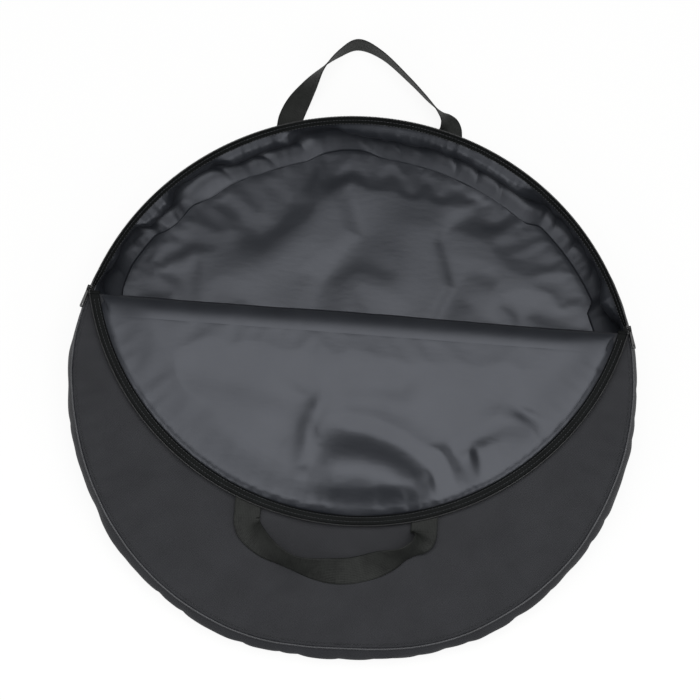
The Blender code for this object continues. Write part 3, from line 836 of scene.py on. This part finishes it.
def lining_fold(angle, share):
    """How far the loose lining stands in from the wall, in metres: full below its gathers at the rim."""
    x, y = 0.4 * math.sin(angle), 0.4 * math.cos(angle)
    mouth = mouth_share(angle)
    lean = x * 0.9 + share * 0.05
    full = 1.1 * (1 - share) + 0.9 * math.exp(-(((share - 0.70) / 0.25) ** 2)) * min(1, 9 * (1 - share))
    broad = 0.35 + 0.65 * smooth(0.5 + 1.9 * rough(lean, y, 3, 0.062))
    ridges = 0.0036 * crease(lean, y, 8, 0.050) * math.sin(math.pi * share)
    gathers = 0.0011 * (1 + rough(x, y, share * 0.02 + 4, 0.0060)) * math.exp((share - 1) / 0.20)
    gathers += 0.0018 * (1 + rough(x, y, share * 0.03 + 7, 0.0140)) * math.exp((share - 1) / 0.35)
    hem = 0.0016 * (1 + rough(x, y, 2, 0.009)) * math.exp(-share / 0.12)
    ends = min(1, 12 * share * (1 - share))
    return 0.0008 + (LINING_FULLNESS * full * broad + ridges) * (0.3 + 0.7 * mouth) + (gathers * mouth + hem) * ends


def wall_sheet(name, columns, rows, out_at, rise, thickness, slot):
    """A sheet all the way round, along the side wall's profile and out from it by out_at(angle, share).

    Its foot lies higher than the wall's by rise.
    """
    grid = np.zeros((rows + 1, columns, 3))
    uv = np.zeros((rows + 1, columns, 2))
    for column, angle in enumerate(np.linspace(0, 2 * math.pi, columns, endpoint=False)):
        for row, share in enumerate(spread(0, 1, rows)):
            radius, height = wall_profile(angle, share)
            lift = rise * (1 - share) ** 3
            grid[row, column] = round_point(angle, radius + out_at(angle, share), height + lift)
            uv[row, column] = (angle * RIM_RADIUS, height)
    return sheet(name, grid, uv, thickness, slot, wrap=True)


def build_side_wall():
    wall = wall_sheet("side_wall_outer", 480, 18, wall_wave, 0.0, -OUTER_CLOTH, "outer_polyester")
    stand_in(wall, "bag", "gusset_upper_shell", "gusset_lower_shell")
    lining = wall_sheet(
        "side_wall_lining",
        1300,
        30,
        lambda angle, share: -(OUTER_CLOTH + 0.0005 + lining_fold(angle, share)),
        0.0034,
        LINING_CLOTH,
        "lining_satin",
    )
    stand_in(lining, "bag", "gusset_upper_lining", "gusset_lower_lining")


# Panels


def back_face_rise(x, y, edge):
    """The back lining lies in broad soft folds over its foam."""
    waves = 0.0010 * rough(x, y, 1, 0.11) + 0.0012 * rough(x, y, 6, 0.035) * math.exp(-edge / 0.05)
    folds = fold_height(BACK_FOLD_SHARES, BACK_RADIUS, BACK_FOLD_HEIGHT, x, y)
    return (0.0012 + waves + folds) * smooth(edge / 0.03) - 0.0012 * (1 - smooth(edge / 0.012))


def build_back_outer():
    """The back panel's outer cloth, which the bag lies on: flat, and gathered a little at its seam."""
    rows, columns = 36, 240
    points, uv = [], []
    for lift in (0.0, OUTER_CLOTH):
        points.append((0, 0, lift))
        uv.append((0, 0))
        for row in range(1, rows + 1):
            share = (row / rows) ** 0.7
            for column in range(columns):
                angle = 2 * math.pi * column / columns
                place = round_point(angle, (BACK_RADIUS + seam_shift(angle) * BACK_SHIFT) * share, lift)
                edge = BACK_RADIUS * (1 - share)
                ripple = 0.0009 * (1 + rough(place.x, place.y, 3, 0.02)) * math.exp(-edge / 0.012)
                place.z += min(0.0020, ripple + 0.0018 * math.exp(-edge / 0.004))
                points.append(place)
                uv.append(place[:2])
    count = 1 + rows * columns
    faces = []
    for column in range(columns):
        after = (column + 1) % columns
        faces.append([0, 1 + column, 1 + after])
        faces.append([count, count + 1 + after, count + 1 + column])
        for row in range(rows - 1):
            near, far = 1 + row * columns, 1 + (row + 1) * columns
            faces.append([near + column, far + column, far + after, near + after])
            faces.append([count + index for index in (near + after, far + after, far + column, near + column)])
        rim = 1 + (rows - 1) * columns
        faces.append([rim + column, count + rim + column, count + rim + after, rim + after])
    stand_in(mesh_piece("back_panel_outer", points, faces, "outer_polyester", uv), "bag", "back_shell")


def build_back():
    lining_radius = WALL_BASE_RADIUS - 0.0040
    steps = int(2 * math.pi * lining_radius / MESH)
    outline = [tuple(round_point(2 * math.pi * k / steps, lining_radius, 0)[:2]) for k in range(steps)]
    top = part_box("back_lining")[1].z
    inner = soft_panel(
        "back_panel_lining",
        "lining_satin",
        (outline, lambda x, y: lining_radius - math.hypot(x, y)),
        back_face_rise,
        lambda x, y, height: (x, y, top + height),
        thickness=0.0046,
        growth=0.0012,
        cap=0.0025,
    )
    stand_in(inner, "bag", "back_lining", "back_padding")


def front_face_rise(x, y, edge):
    """The front panel carries soft waves, and small puckers that run in from its seam."""
    waves = soft_waves(x, y, FRONT_WAVES)
    along = math.atan2(x, -y) * FRONT_RADIUS
    pucker = 0.0012 * rough(along, 0, 13, 0.018) * math.exp(-edge / 0.022)
    fall = 0.0030 * math.exp(-edge / 0.016)
    return waves * smooth(edge / 0.05) + pucker * smooth(edge / 0.004) - fall * smooth(edge / 0.001) * 0.5


def build_front():
    panel = soft_panel(
        "front_panel_outer",
        "outer_polyester",
        segment(front_edge, FOLD_Y, True, gap=FOLD_GAP),
        front_face_rise,
        lambda x, y, height: (x, y, front_height(y) + height),
        thickness=0.0030,
        growth=0.001,
        cap=0.001,
    )
    stand_in(panel, "bag", "front_shell", "front_padding")
    lining = soft_panel(
        "front_panel_lining",
        "lining_satin",
        segment(lambda angle: front_edge(angle) - 0.0060, FOLD_Y, True, gap=FOLD_GAP),
        lambda x, y, edge: 0.0012 * (1 + rough(x, y, 21, 0.09)) * smooth(edge / 0.02),
        lambda x, y, height: (x, y, front_height(y) - 0.0056 - height),
        thickness=0.0016,
        growth=0.001,
        cap=0.001,
        facing=-1,
    )
    stand_in(lining, "bag", "front_lining")


# Flap


def flap_place(x, y, height):
    """A place on the flap's lining, which faces up with the flap open."""
    return folded((x, y, LINING_Z - height))


def flap_face_rise(x, y, edge):
    """Broad folds over the foam, and puckers that run in from the gathered zip seam."""
    arc_edge = FLAP_RADIUS - math.hypot(x, y)
    along = math.atan2(x, y) * FLAP_RADIUS
    gather = 0.25 + 0.75 * smooth(1 - abs(along) / 0.24)
    short = 0.0020 * rough(along, 0, 31, 0.0085) * math.exp(-arc_edge / 0.018)
    reach = 0.026 + 0.018 * rough(along, 0, 32, 0.04)
    tall = 0.0036 * rough(along, arc_edge * 0.1, 33, 0.019) * math.exp(-arc_edge / max(0.010, reach))
    waves = soft_waves(x, y, FLAP_WAVES) * smooth(edge / 0.035)
    drop = FOLD_DROP * (1 - smooth((y - HINGE.y) / FOLD_LAP))
    sink = 0.0034 * (1 - smooth(arc_edge / 0.0060))
    return lining_rise(x, y) + waves + gather * (short + tall) * smooth(arc_edge / 0.004) - drop - sink


def build_flap():
    """The open flap's two faces. What is returned finds places on its lining."""
    area = segment(lambda angle: FLAP_RADIUS, HINGE.y, False)
    pad = soft_panel(
        "flap_lining_pad",
        "lining_satin",
        area,
        flap_face_rise,
        flap_place,
        thickness=0.0058,
        growth=0.0006,
        cap=0.002,
        facing=-1,
    )
    stand_in(pad, "flap", "flap_lining", "flap_padding")
    face = BVHTree.FromPolygons([v.co for v in pad.data.vertices], [p.vertices for p in pad.data.polygons])
    outer = soft_panel(
        "flap_outer_panel",
        "outer_polyester",
        area,
        lambda x, y, edge: 0.0005 * rough(x, y, 41, 0.05) * smooth(edge / 0.02),
        lambda x, y, height: folded((x, y, BAG_DEPTH + height)),
        thickness=0.0009,
        growth=0.002,
        cap=0.0006,
    )
    stand_in(outer, "flap", "flap_shell")
    return face


def by_hinge(x, along, out):
    """A place by the hinge: how far along the open flap from it, and how far out from the flap."""
    y = HINGE.y - out * math.sin(SLOPE) - along * math.cos(SLOPE)
    return Vector((x, y, HINGE.z + out * math.cos(SLOPE) - along * math.sin(SLOPE)))


def roll_grid(face, columns):
    """The roll's cloth, from where it lies on the flap's lining, over its edge and down into the bag."""
    tail_width = math.sqrt(FLAP_RADIUS**2 - (HINGE.y + FOLD_LAP + FOLD_TUCK_RUN) ** 2) - 0.0015
    away = by_hinge(HINGE.x, 0, 1) - HINGE
    below = FOLD_INNER + PANEL
    turns = spread(math.pi / 2, -math.pi / 2, 2 * TURN_STEPS)  # from the flap round to the front panel
    grid = np.zeros((len(turns) + 1, columns + 1, 3))
    uv = np.zeros((len(turns) + 1, columns + 1, 2))
    for column, share in enumerate(spread(-1, 1, columns)):
        height, end_height = (
            REACH - (face.ray_cast(by_hinge(share * tail_width, along, REACH), -away)[3] or REACH - below)
            for along in (FOLD_LAP, FOLD_LAP + FOLD_TUCK_RUN)
        )
        wave = soft_waves(share, 0, ROLL_WAVES)
        out = FOLD_OUT + FOLD_BOW * smooth(1 - abs(share * FLAP_HALF_WIDTH) / FOLD_BOW_RUN) + wave
        for row, turn in enumerate(turns, 1):
            over = math.sin(turn)
            if turn > 0:
                place = ((FOLD_LAP + out) * (1 - math.cos(turn)) - out, height * over)
            else:
                place = ((FOLD_FOOT + out) * (1 - math.cos(turn)) - out, below * over)
            width = FLAP_HALF_WIDTH + (tail_width - FLAP_HALF_WIDTH) * max(0.0, over) ** 2
            grid[row, column] = by_hinge(share * width, *place)
            uv[row, column] = (share * FLAP_HALF_WIDTH, turn * below)
        grid[0, column] = by_hinge(share * tail_width, FOLD_LAP + FOLD_TUCK_RUN, end_height - FOLD_TUCK)
        uv[0, column] = (share * FLAP_HALF_WIDTH, math.pi / 2 * below + FOLD_TUCK_RUN)
    return grid, uv


def cross_fold(thing):
    """Bake a piece's placement into its points."""
    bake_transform(thing)


def build_fold_roll(face):
    """The padded cloth that rolls over from the front panel into the open flap, and the zip's ends."""
    coil_x = math.sqrt(FLAP_COIL_RADIUS**2 - HINGE.y**2)
    grid, uv = roll_grid(face, 240)
    roll = sheet("flap_fold_roll", grid, uv, FOLD_CLOTH, "lining_satin")
    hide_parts("flap_fold_strip")
    cross_fold(roll)
    inner = FOLD_INNER + ZIP_TURN_RISE
    turns = spread(math.pi / 2, -math.pi / 2, TURN_STEPS)
    for side, name in ((-1, "left"), (1, "right")):
        xs = spread(-coil_x, -FLAP_HALF_WIDTH, 8) if side < 0 else spread(FLAP_HALF_WIDTH, coil_x, 8)
        grid = [[by_hinge(x, -inner * math.cos(turn), inner * math.sin(turn)) for x in xs] for turn in turns]
        uv = [[(x, turn * FOLD_INNER) for x in xs] for turn in turns]
        cross_fold(sheet("zip_turn_tape_" + name, grid, uv, TAPE_CLOTH, "zip_tape"))
        line = [by_hinge(side * coil_x, -inner * math.cos(turn), inner * math.sin(turn)) for turn in turns]
        cross_fold(cord("zip_turn_coil_" + name, line, COIL_RADIUS, 8, "zip_coil"))


# Zip


def rim_tape_point(angle, share):
    """The rim's zip tape leans in from its coil to its foot, where it is gathered a little."""
    x, y = 0.4 * math.sin(angle), 0.4 * math.cos(angle)
    lean = 0.0060 * smooth((MOUTH_ANGLE - abs(angle)) / 0.12)
    foot = RIM_RADIUS - lean
    ruffle = 0.0008 * rough(x, y, 61, 0.010) * (1 - share)
    radius = foot + (RIM_RADIUS - foot) * share + ruffle
    return round_point(angle, radius, TAPE_FOOT + (RIM_COIL_Z - COIL_RADIUS - TAPE_FOOT) * share)


def coil_piece(name, path, body, replaced):
    wound = helix(path, COIL_RADIUS - FILAMENT)
    parts = [tube_parts(wound, FILAMENT, 5), tube_parts(walk(path, MESH), COIL_RADIUS * COIL_CORE, 6)]
    stand_in(mesh_piece(name, *join_parts(parts), "zip_coil"), body, replaced)


def build_rim_zip():
    angles = spread(-MOUTH_ANGLE, MOUTH_ANGLE, TAPE_STEPS)
    shares = spread(0, 1, TAPE_ROWS)
    grid = [[rim_tape_point(angle, share) for angle in angles] for share in shares]
    uv = [[(angle * RIM_RADIUS, share * TAPE_WIDTH) for angle in angles] for share in shares]
    stand_in(sheet("rim_tape", grid, uv, TAPE_CLOTH, "zip_tape"), "bag", "rim_zip_tape")
    reach = MOUTH_ANGLE - 0.0095
    path = [round_point(angle, RIM_RADIUS, RIM_COIL_Z) for angle in spread(-reach, reach, 300)]
    coil_piece("rim_coil", path, "bag", "rim_zip_coil")
    rows = []
    for share in (0.12, 0.62):
        line = [rim_tape_point(angle, share) for angle in angles]
        rows.append([point - Vector((point.x, point.y, 0)).normalized() * TAPE_CLOTH for point in line])
    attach(stitches("rim_tape_stitches", rows, "zip_tape", lift=(0, 0, 0.6)), "bag")


def build_flap_zip():
    shares = spread(0, 1, TAPE_ROWS)
    shares_round = spread(-1, 1, TAPE_STEPS)
    inner = FLAP_RADIUS + TAPE_GAP
    outer = FLAP_COIL_RADIUS - COIL_RADIUS - 0.0002
    grid = []
    for share in shares:
        radius = inner + (outer - inner) * share
        reach = math.acos(HINGE.y / radius)
        line = []
        for angle in (reach * part for part in shares_round):
            dip = 0.0007 * rough(angle * radius, share * 0.01, 62, 0.014) * (1 - share)
            line.append(folded(round_point(angle, radius, FLAP_COIL_Z - TAPE_CLOTH / 2 - dip)))
        grid.append(line)
    uv = [[(part * reach * RIM_RADIUS, share * TAPE_WIDTH) for part in shares_round] for share in shares]
    stand_in(sheet("flap_tape", grid, uv, -TAPE_CLOTH, "zip_tape"), "flap", "flap_zip_tape")
    reach = math.acos(HINGE.y / FLAP_COIL_RADIUS)
    angles = [reach * part for part in shares_round]
    path = [folded(round_point(angle, FLAP_COIL_RADIUS, FLAP_COIL_Z)) for angle in angles]
    coil_piece("flap_coil", path, "flap", "flap_zip_coil")
    rows = [
        [folded(round_point(angle, radius, FLAP_COIL_Z - TAPE_CLOTH)) for angle in angles[4:-4]]
        for radius in (inner + 0.0022, outer - 0.0040)
    ]
    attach(stitches("flap_tape_stitches", rows, "zip_tape"), "flap")


def build_piping():
    turn = math.acos(FOLD_Y / FRONT_RADIUS)
    line = []
    for angle in spread(turn, 2 * math.pi - turn, SEAM_STEPS):
        out = front_edge(angle) + 0.0003 + PIPING_RADIUS + 0.0005 * rough(angle, 0, 71, 0.08)
        place = round_point(angle, out, 0)
        place.z = front_height(place.y) - 0.0004 + 0.0005 * rough(angle, 0, 72, 0.06)
        line.append(place)
    stand_in(cord("front_seam_piping", line, PIPING_RADIUS, 10, "piping_cloth"), "bag", "front_piping")
    line = [
        round_point(angle, BACK_RADIUS + 0.0015 + seam_shift(angle) * BACK_SHIFT, 0.0021)
        for angle in spread(0, 2 * math.pi, 400)[:-1]
    ]
    stand_in(cord("back_seam_piping", line, PIPING_RADIUS, 8, "piping_cloth", ring=True), "bag", "back_piping")
    line = []
    for angle in spread(turn + 0.01, 2 * math.pi - turn - 0.01, SEAM_STEPS):
        place = round_point(angle, front_edge(angle) - 0.0045, 0)
        place.z = front_height(place.y) - 0.0001
        line.append(place)
    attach(stitches("front_seam_stitches", [line], "outer_polyester"), "bag")


# Handles


def strap(name, middles, acrosses, pivot):
    """Webbing along a line, with rounded selvedges: a closed band of even width."""
    half, thick = WEBBING_WIDTH / 2, WEBBING / 2
    section = [
        (half * share, thick * (1 - SELVEDGE_THIN * smooth((abs(share) - SELVEDGE) / 0.1)))
        for share in spread(-1, 1, 18)
    ]
    outline = section + [(x, -deep) for x, deep in reversed(section)]
    points, uv = [], []
    length = 0.0
    for k, (middle, across) in enumerate(zip(middles, acrosses)):
        before, after = middles[max(k - 1, 0)], middles[min(k + 1, len(middles) - 1)]
        ahead = (after - before).normalized()
        across = (across - ahead * across.dot(ahead)).normalized()
        face = across.cross(ahead).normalized()
        length += (middle - before).length
        for x, deep in outline:
            points.append(pivot + middle + across * x + face * deep)
            uv.append((length, x + half))
    return mesh_piece(name, points, band_faces(len(middles), len(outline)), "webbing", uv)


def through(stations):
    """Places on a smooth line through the stations."""
    stations = [Vector(station) for station in stations]
    ends = [stations[0] * 2 - stations[1], *stations, stations[-1] * 2 - stations[-2]]
    line = []
    for k in range(1, len(ends) - 2):
        a, b, c, d = ends[k - 1 : k + 3]
        for share in spread(0, 1, LOOP_STEPS)[:-1]:
            line.append(
                b
                + (c - a) * (share / 2)
                + (a * 2 - b * 5 + c * 4 - d) * (share**2 / 2)
                + (b * 3 - a - c * 3 + d) * (share**3 / 2)
            )
    return [*line, stations[-1]]


def loop_line(middle, between, reach, drop, shares, turns, lift_side):
    """The middles and cross directions of a webbing loop, in the frame of its bend line.

    It turns on edge as the photograph shows, with its lower edge on what it lies on.
    """
    line = through([(across, out, math.radians(turn)) for (across, out), turn in zip(shares, turns)])
    middles, acrosses = [], []
    for across, out, turn in line:
        low = drop * smooth(out * 2)
        rise = lift_side * (math.sin(turn) * WEBBING_WIDTH / 2 - WEBBING / 2 - low)
        middles.append(Vector((middle + across * between / 2, reach * out, rise)))
    last = len(middles) - 1
    for k, (across, out, turn) in enumerate(line):
        ahead = middles[min(k + 1, last)] - middles[max(k - 1, 0)]
        if k in (0, last):
            ahead = Vector((0, 1 if k == 0 else -1, 0))
        ahead.normalize()
        flat = ahead.cross(Vector((0, 0, 1))).normalized()
        acrosses.append(Matrix.Rotation(-lift_side * turn, 3, ahead) @ flat)
    return middles, acrosses


def with_ends(middles, acrosses, length):
    """The loop's line with both sewn ends added to it, straight back from its feet."""
    back = [Vector((0, -reach, 0)) for reach in spread(length, 0, 24)[:-1]]
    line = [middles[0] + step for step in back] + middles + [middles[-1] + step for step in reversed(back)]
    return line, [acrosses[0]] * len(back) + acrosses + [acrosses[-1]] * len(back)


def sewn_box(middle_x, near, far, height):
    """Lines for a box of stitches with a cross in it, on a strap's sewn end."""
    half = WEBBING_WIDTH / 2 - 0.0045
    a, b, c, d = ((middle_x + side * half, y, height) for side, y in ((-1, near), (1, near), (1, far), (-1, far)))
    return [
        [Vector(first).lerp(Vector(last), share) for share in spread(0, 1, 8)]
        for first, last in ((a, b), (b, c), (c, d), (d, a), (a, c), (b, d))
    ]


def build_rear_handle():
    """One length of webbing: both sewn ends and the loop, bending where it leaves the seam."""
    middles, acrosses = loop_line(
        REAR_MIDDLE, REAR_SPREAD, REAR_REACH, REAR_DROP, REAR_LINE_SHARES, REAR_TURNS, 1
    )
    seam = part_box("rear_handle_end_left")[0].y + 0.004
    middles, acrosses = with_ends(middles, acrosses, REAR_PIVOT.y - seam)
    made = strap("rear_handle_webbing", middles, acrosses, REAR_PIVOT)
    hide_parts("rear_handle", "rear_handle_end_left", "rear_handle_end_right")
    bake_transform(made)
    lines = []
    for side in (-1, 1):
        middle_x = REAR_MIDDLE + side * REAR_SPREAD / 2
        rim = math.sqrt(RIM_RADIUS**2 - middle_x**2)
        lines += sewn_box(middle_x, rim + 0.004, REAR_PIVOT.y - 0.004, REAR_PIVOT.z + 0.0002)
    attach(stitches("rear_handle_stitches", lines, "webbing"), "bag")


def build_front_handle():
    """The same for the front handle, worked out with the bag shut and folded open with the flap."""
    tilt = Matrix.Rotation(OPEN_ANGLE, 3, "X")
    middles, acrosses = loop_line(
        FRONT_MIDDLE, FRONT_SPREAD, FRONT_REACH, FRONT_DROP, FRONT_LINE_SHARES, FRONT_TURNS, -1
    )
    middles, acrosses = with_ends(middles, acrosses, FRONT_TAIL_LENGTH)
    made = strap("front_handle_webbing", [tilt @ m for m in middles], [tilt @ a for a in acrosses], FRONT_PIVOT)
    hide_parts("front_handle", "front_handle_end_left", "front_handle_end_right")
    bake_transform(made)
    lines = []
    for side in (-1, 1):
        middle_x = FRONT_MIDDLE + side * FRONT_SPREAD / 2
        for begin in FRONT_BOXES:
            near, far = begin - FRONT_TAIL_LENGTH, begin + FRONT_BOX_LENGTH - FRONT_TAIL_LENGTH
            box = sewn_box(middle_x, near, far, WEBBING + 0.0002)
            lines += [[FRONT_PIVOT + tilt @ point for point in line] for line in box]
    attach(stitches("front_handle_stitches", lines, "webbing", lift=tilt @ Vector((0, 0, 1))), "flap")


def dress_metal():
    """Give the metal parts, which stay as they are, their enamel."""
    for name in ("slider_left", "slider_right", "pull_left", "pull_right", "zip_end_stop_left", "zip_end_stop_right"):
        node = frame["nodes"][name]
        for slot in node.material_slots:
            slot.material = METAL


# Stage


# The photograph's view, found from the outlines of the bag and its zip
CAMERA_ELEVATION = 71.38
CAMERA_AZIMUTH = 2.67
CAMERA_ROLL = 1.84
CAMERA_DISTANCE = 4.04
CAMERA_TARGET = Vector((-0.0084, 0.0485, 0.05))
FOCAL_PIXELS = 2736
FRAME_PIXELS = 700
SENSOR = 36.0

# Each lamp's name, place, width and power
LAMPS = (
    ("overhead_softbox", (0.34, 0.00, 3.2), 2.9, 82),
    ("overhead_left", (-1.70, -0.35, 3.1), 1.3, 13),
    ("left_fill", (-2.3, -2.0, 1.6), 2.0, 34),
    ("right_fill", (2.4, -1.8, 1.6), 2.0, 34),
)
LAMP_AIM = Vector((0, 0, 0.05))
FLOOR_HALF = 6.0
FLOOR_GAP = 0.0004
FLOOR_GLOW = 0.9  # of the floor's white where it is seen, so that it stays even
SKY = 0.14  # light from all round
SKY_SEEN = 0.86  # and more where it is seen itself


def build_camera():
    elevation, azimuth = math.radians(CAMERA_ELEVATION), math.radians(CAMERA_AZIMUTH)
    level = math.cos(elevation)
    outward = Vector((level * math.sin(azimuth), -level * math.cos(azimuth), math.sin(elevation)))
    data = bpy.data.cameras.new("camera")
    data.sensor_width = SENSOR
    data.lens = FOCAL_PIXELS / FRAME_PIXELS * SENSOR
    camera = new_object("camera", data)
    right = Vector((0, 0, 1)).cross(outward).normalized()
    up = outward.cross(right)
    roll = math.radians(CAMERA_ROLL)
    turned = right * math.cos(roll) + up * math.sin(roll)
    upright = up * math.cos(roll) - right * math.sin(roll)
    facing = Matrix((turned, upright, outward)).transposed().to_4x4()
    camera.matrix_world = Matrix.Translation(CAMERA_TARGET + outward * CAMERA_DISTANCE) @ facing
    scene.camera = camera


def soft_lamp(name, place, size, power):
    data = bpy.data.lights.new(name, "AREA")
    data.shape = "SQUARE"
    data.size = size
    data.energy = power
    lamp = new_object(name, data)
    lamp.location = place
    lamp.rotation_euler = (LAMP_AIM - Vector(place)).to_track_quat("-Z", "Y").to_euler()


def build_stage():
    made = bpy.data.materials.new("studio_floor_painted")
    made.use_nodes = True
    tree = made.node_tree
    tree.nodes.remove(tree.nodes["Principled BSDF"])
    paint = add(tree, "BsdfDiffuse", {"Color": linear("#fafaf8")})
    glow = add(tree, "Emission", {"Color": (1, 1, 1, 1), "Strength": 1.0})
    path = add(tree, "LightPath")
    rays = path.outputs["Is Camera Ray"], path.outputs["Is Glossy Ray"]
    seen = add(tree, "Math", {"operation": "MAXIMUM"}, i0=rays[0], i1=rays[1])
    part = add(tree, "Math", {"operation": "MULTIPLY", 1: FLOOR_GLOW}, i0=seen.outputs[0])
    mixed = add(tree, "MixShader", i0=part.outputs[0], i1=paint.outputs[0], i2=glow.outputs[0])
    tree.links.new(mixed.outputs[0], tree.nodes["Material Output"].inputs["Surface"])
    mesh = bpy.data.meshes.new("floor")
    corners = [(x * FLOOR_HALF, y * FLOOR_HALF, 0) for x, y in ((-1, -1), (1, -1), (1, 1), (-1, 1))]
    mesh.from_pydata(corners, [], [(0, 1, 2, 3)])
    mesh.materials.append(made)
    floor = new_object("floor", mesh)
    floor.location.z = cad_box[0].z - FLOOR_GAP
    world = bpy.data.worlds.new("studio")
    world.use_nodes = True
    tree = world.node_tree
    sky = tree.nodes["Background"]
    sky.inputs["Color"].default_value = (1, 1, 1, 1)
    path = add(tree, "LightPath")
    seen = path.outputs["Is Camera Ray"]
    level = add(tree, "Math", {"operation": "MULTIPLY_ADD", 1: SKY_SEEN, 2: SKY}, i0=seen)
    tree.links.new(level.outputs[0], sky.inputs["Strength"])
    scene.world = world
    for lamp in LAMPS:
        soft_lamp(*lamp)
    scene.view_settings.view_transform = "Standard"


build_camera()
build_stage()
build_side_wall()
build_back()
build_back_outer()
build_front()
build_fold_roll(build_flap())
build_rim_zip()
build_flap_zip()
build_piping()
build_rear_handle()
build_front_handle()
dress_metal()
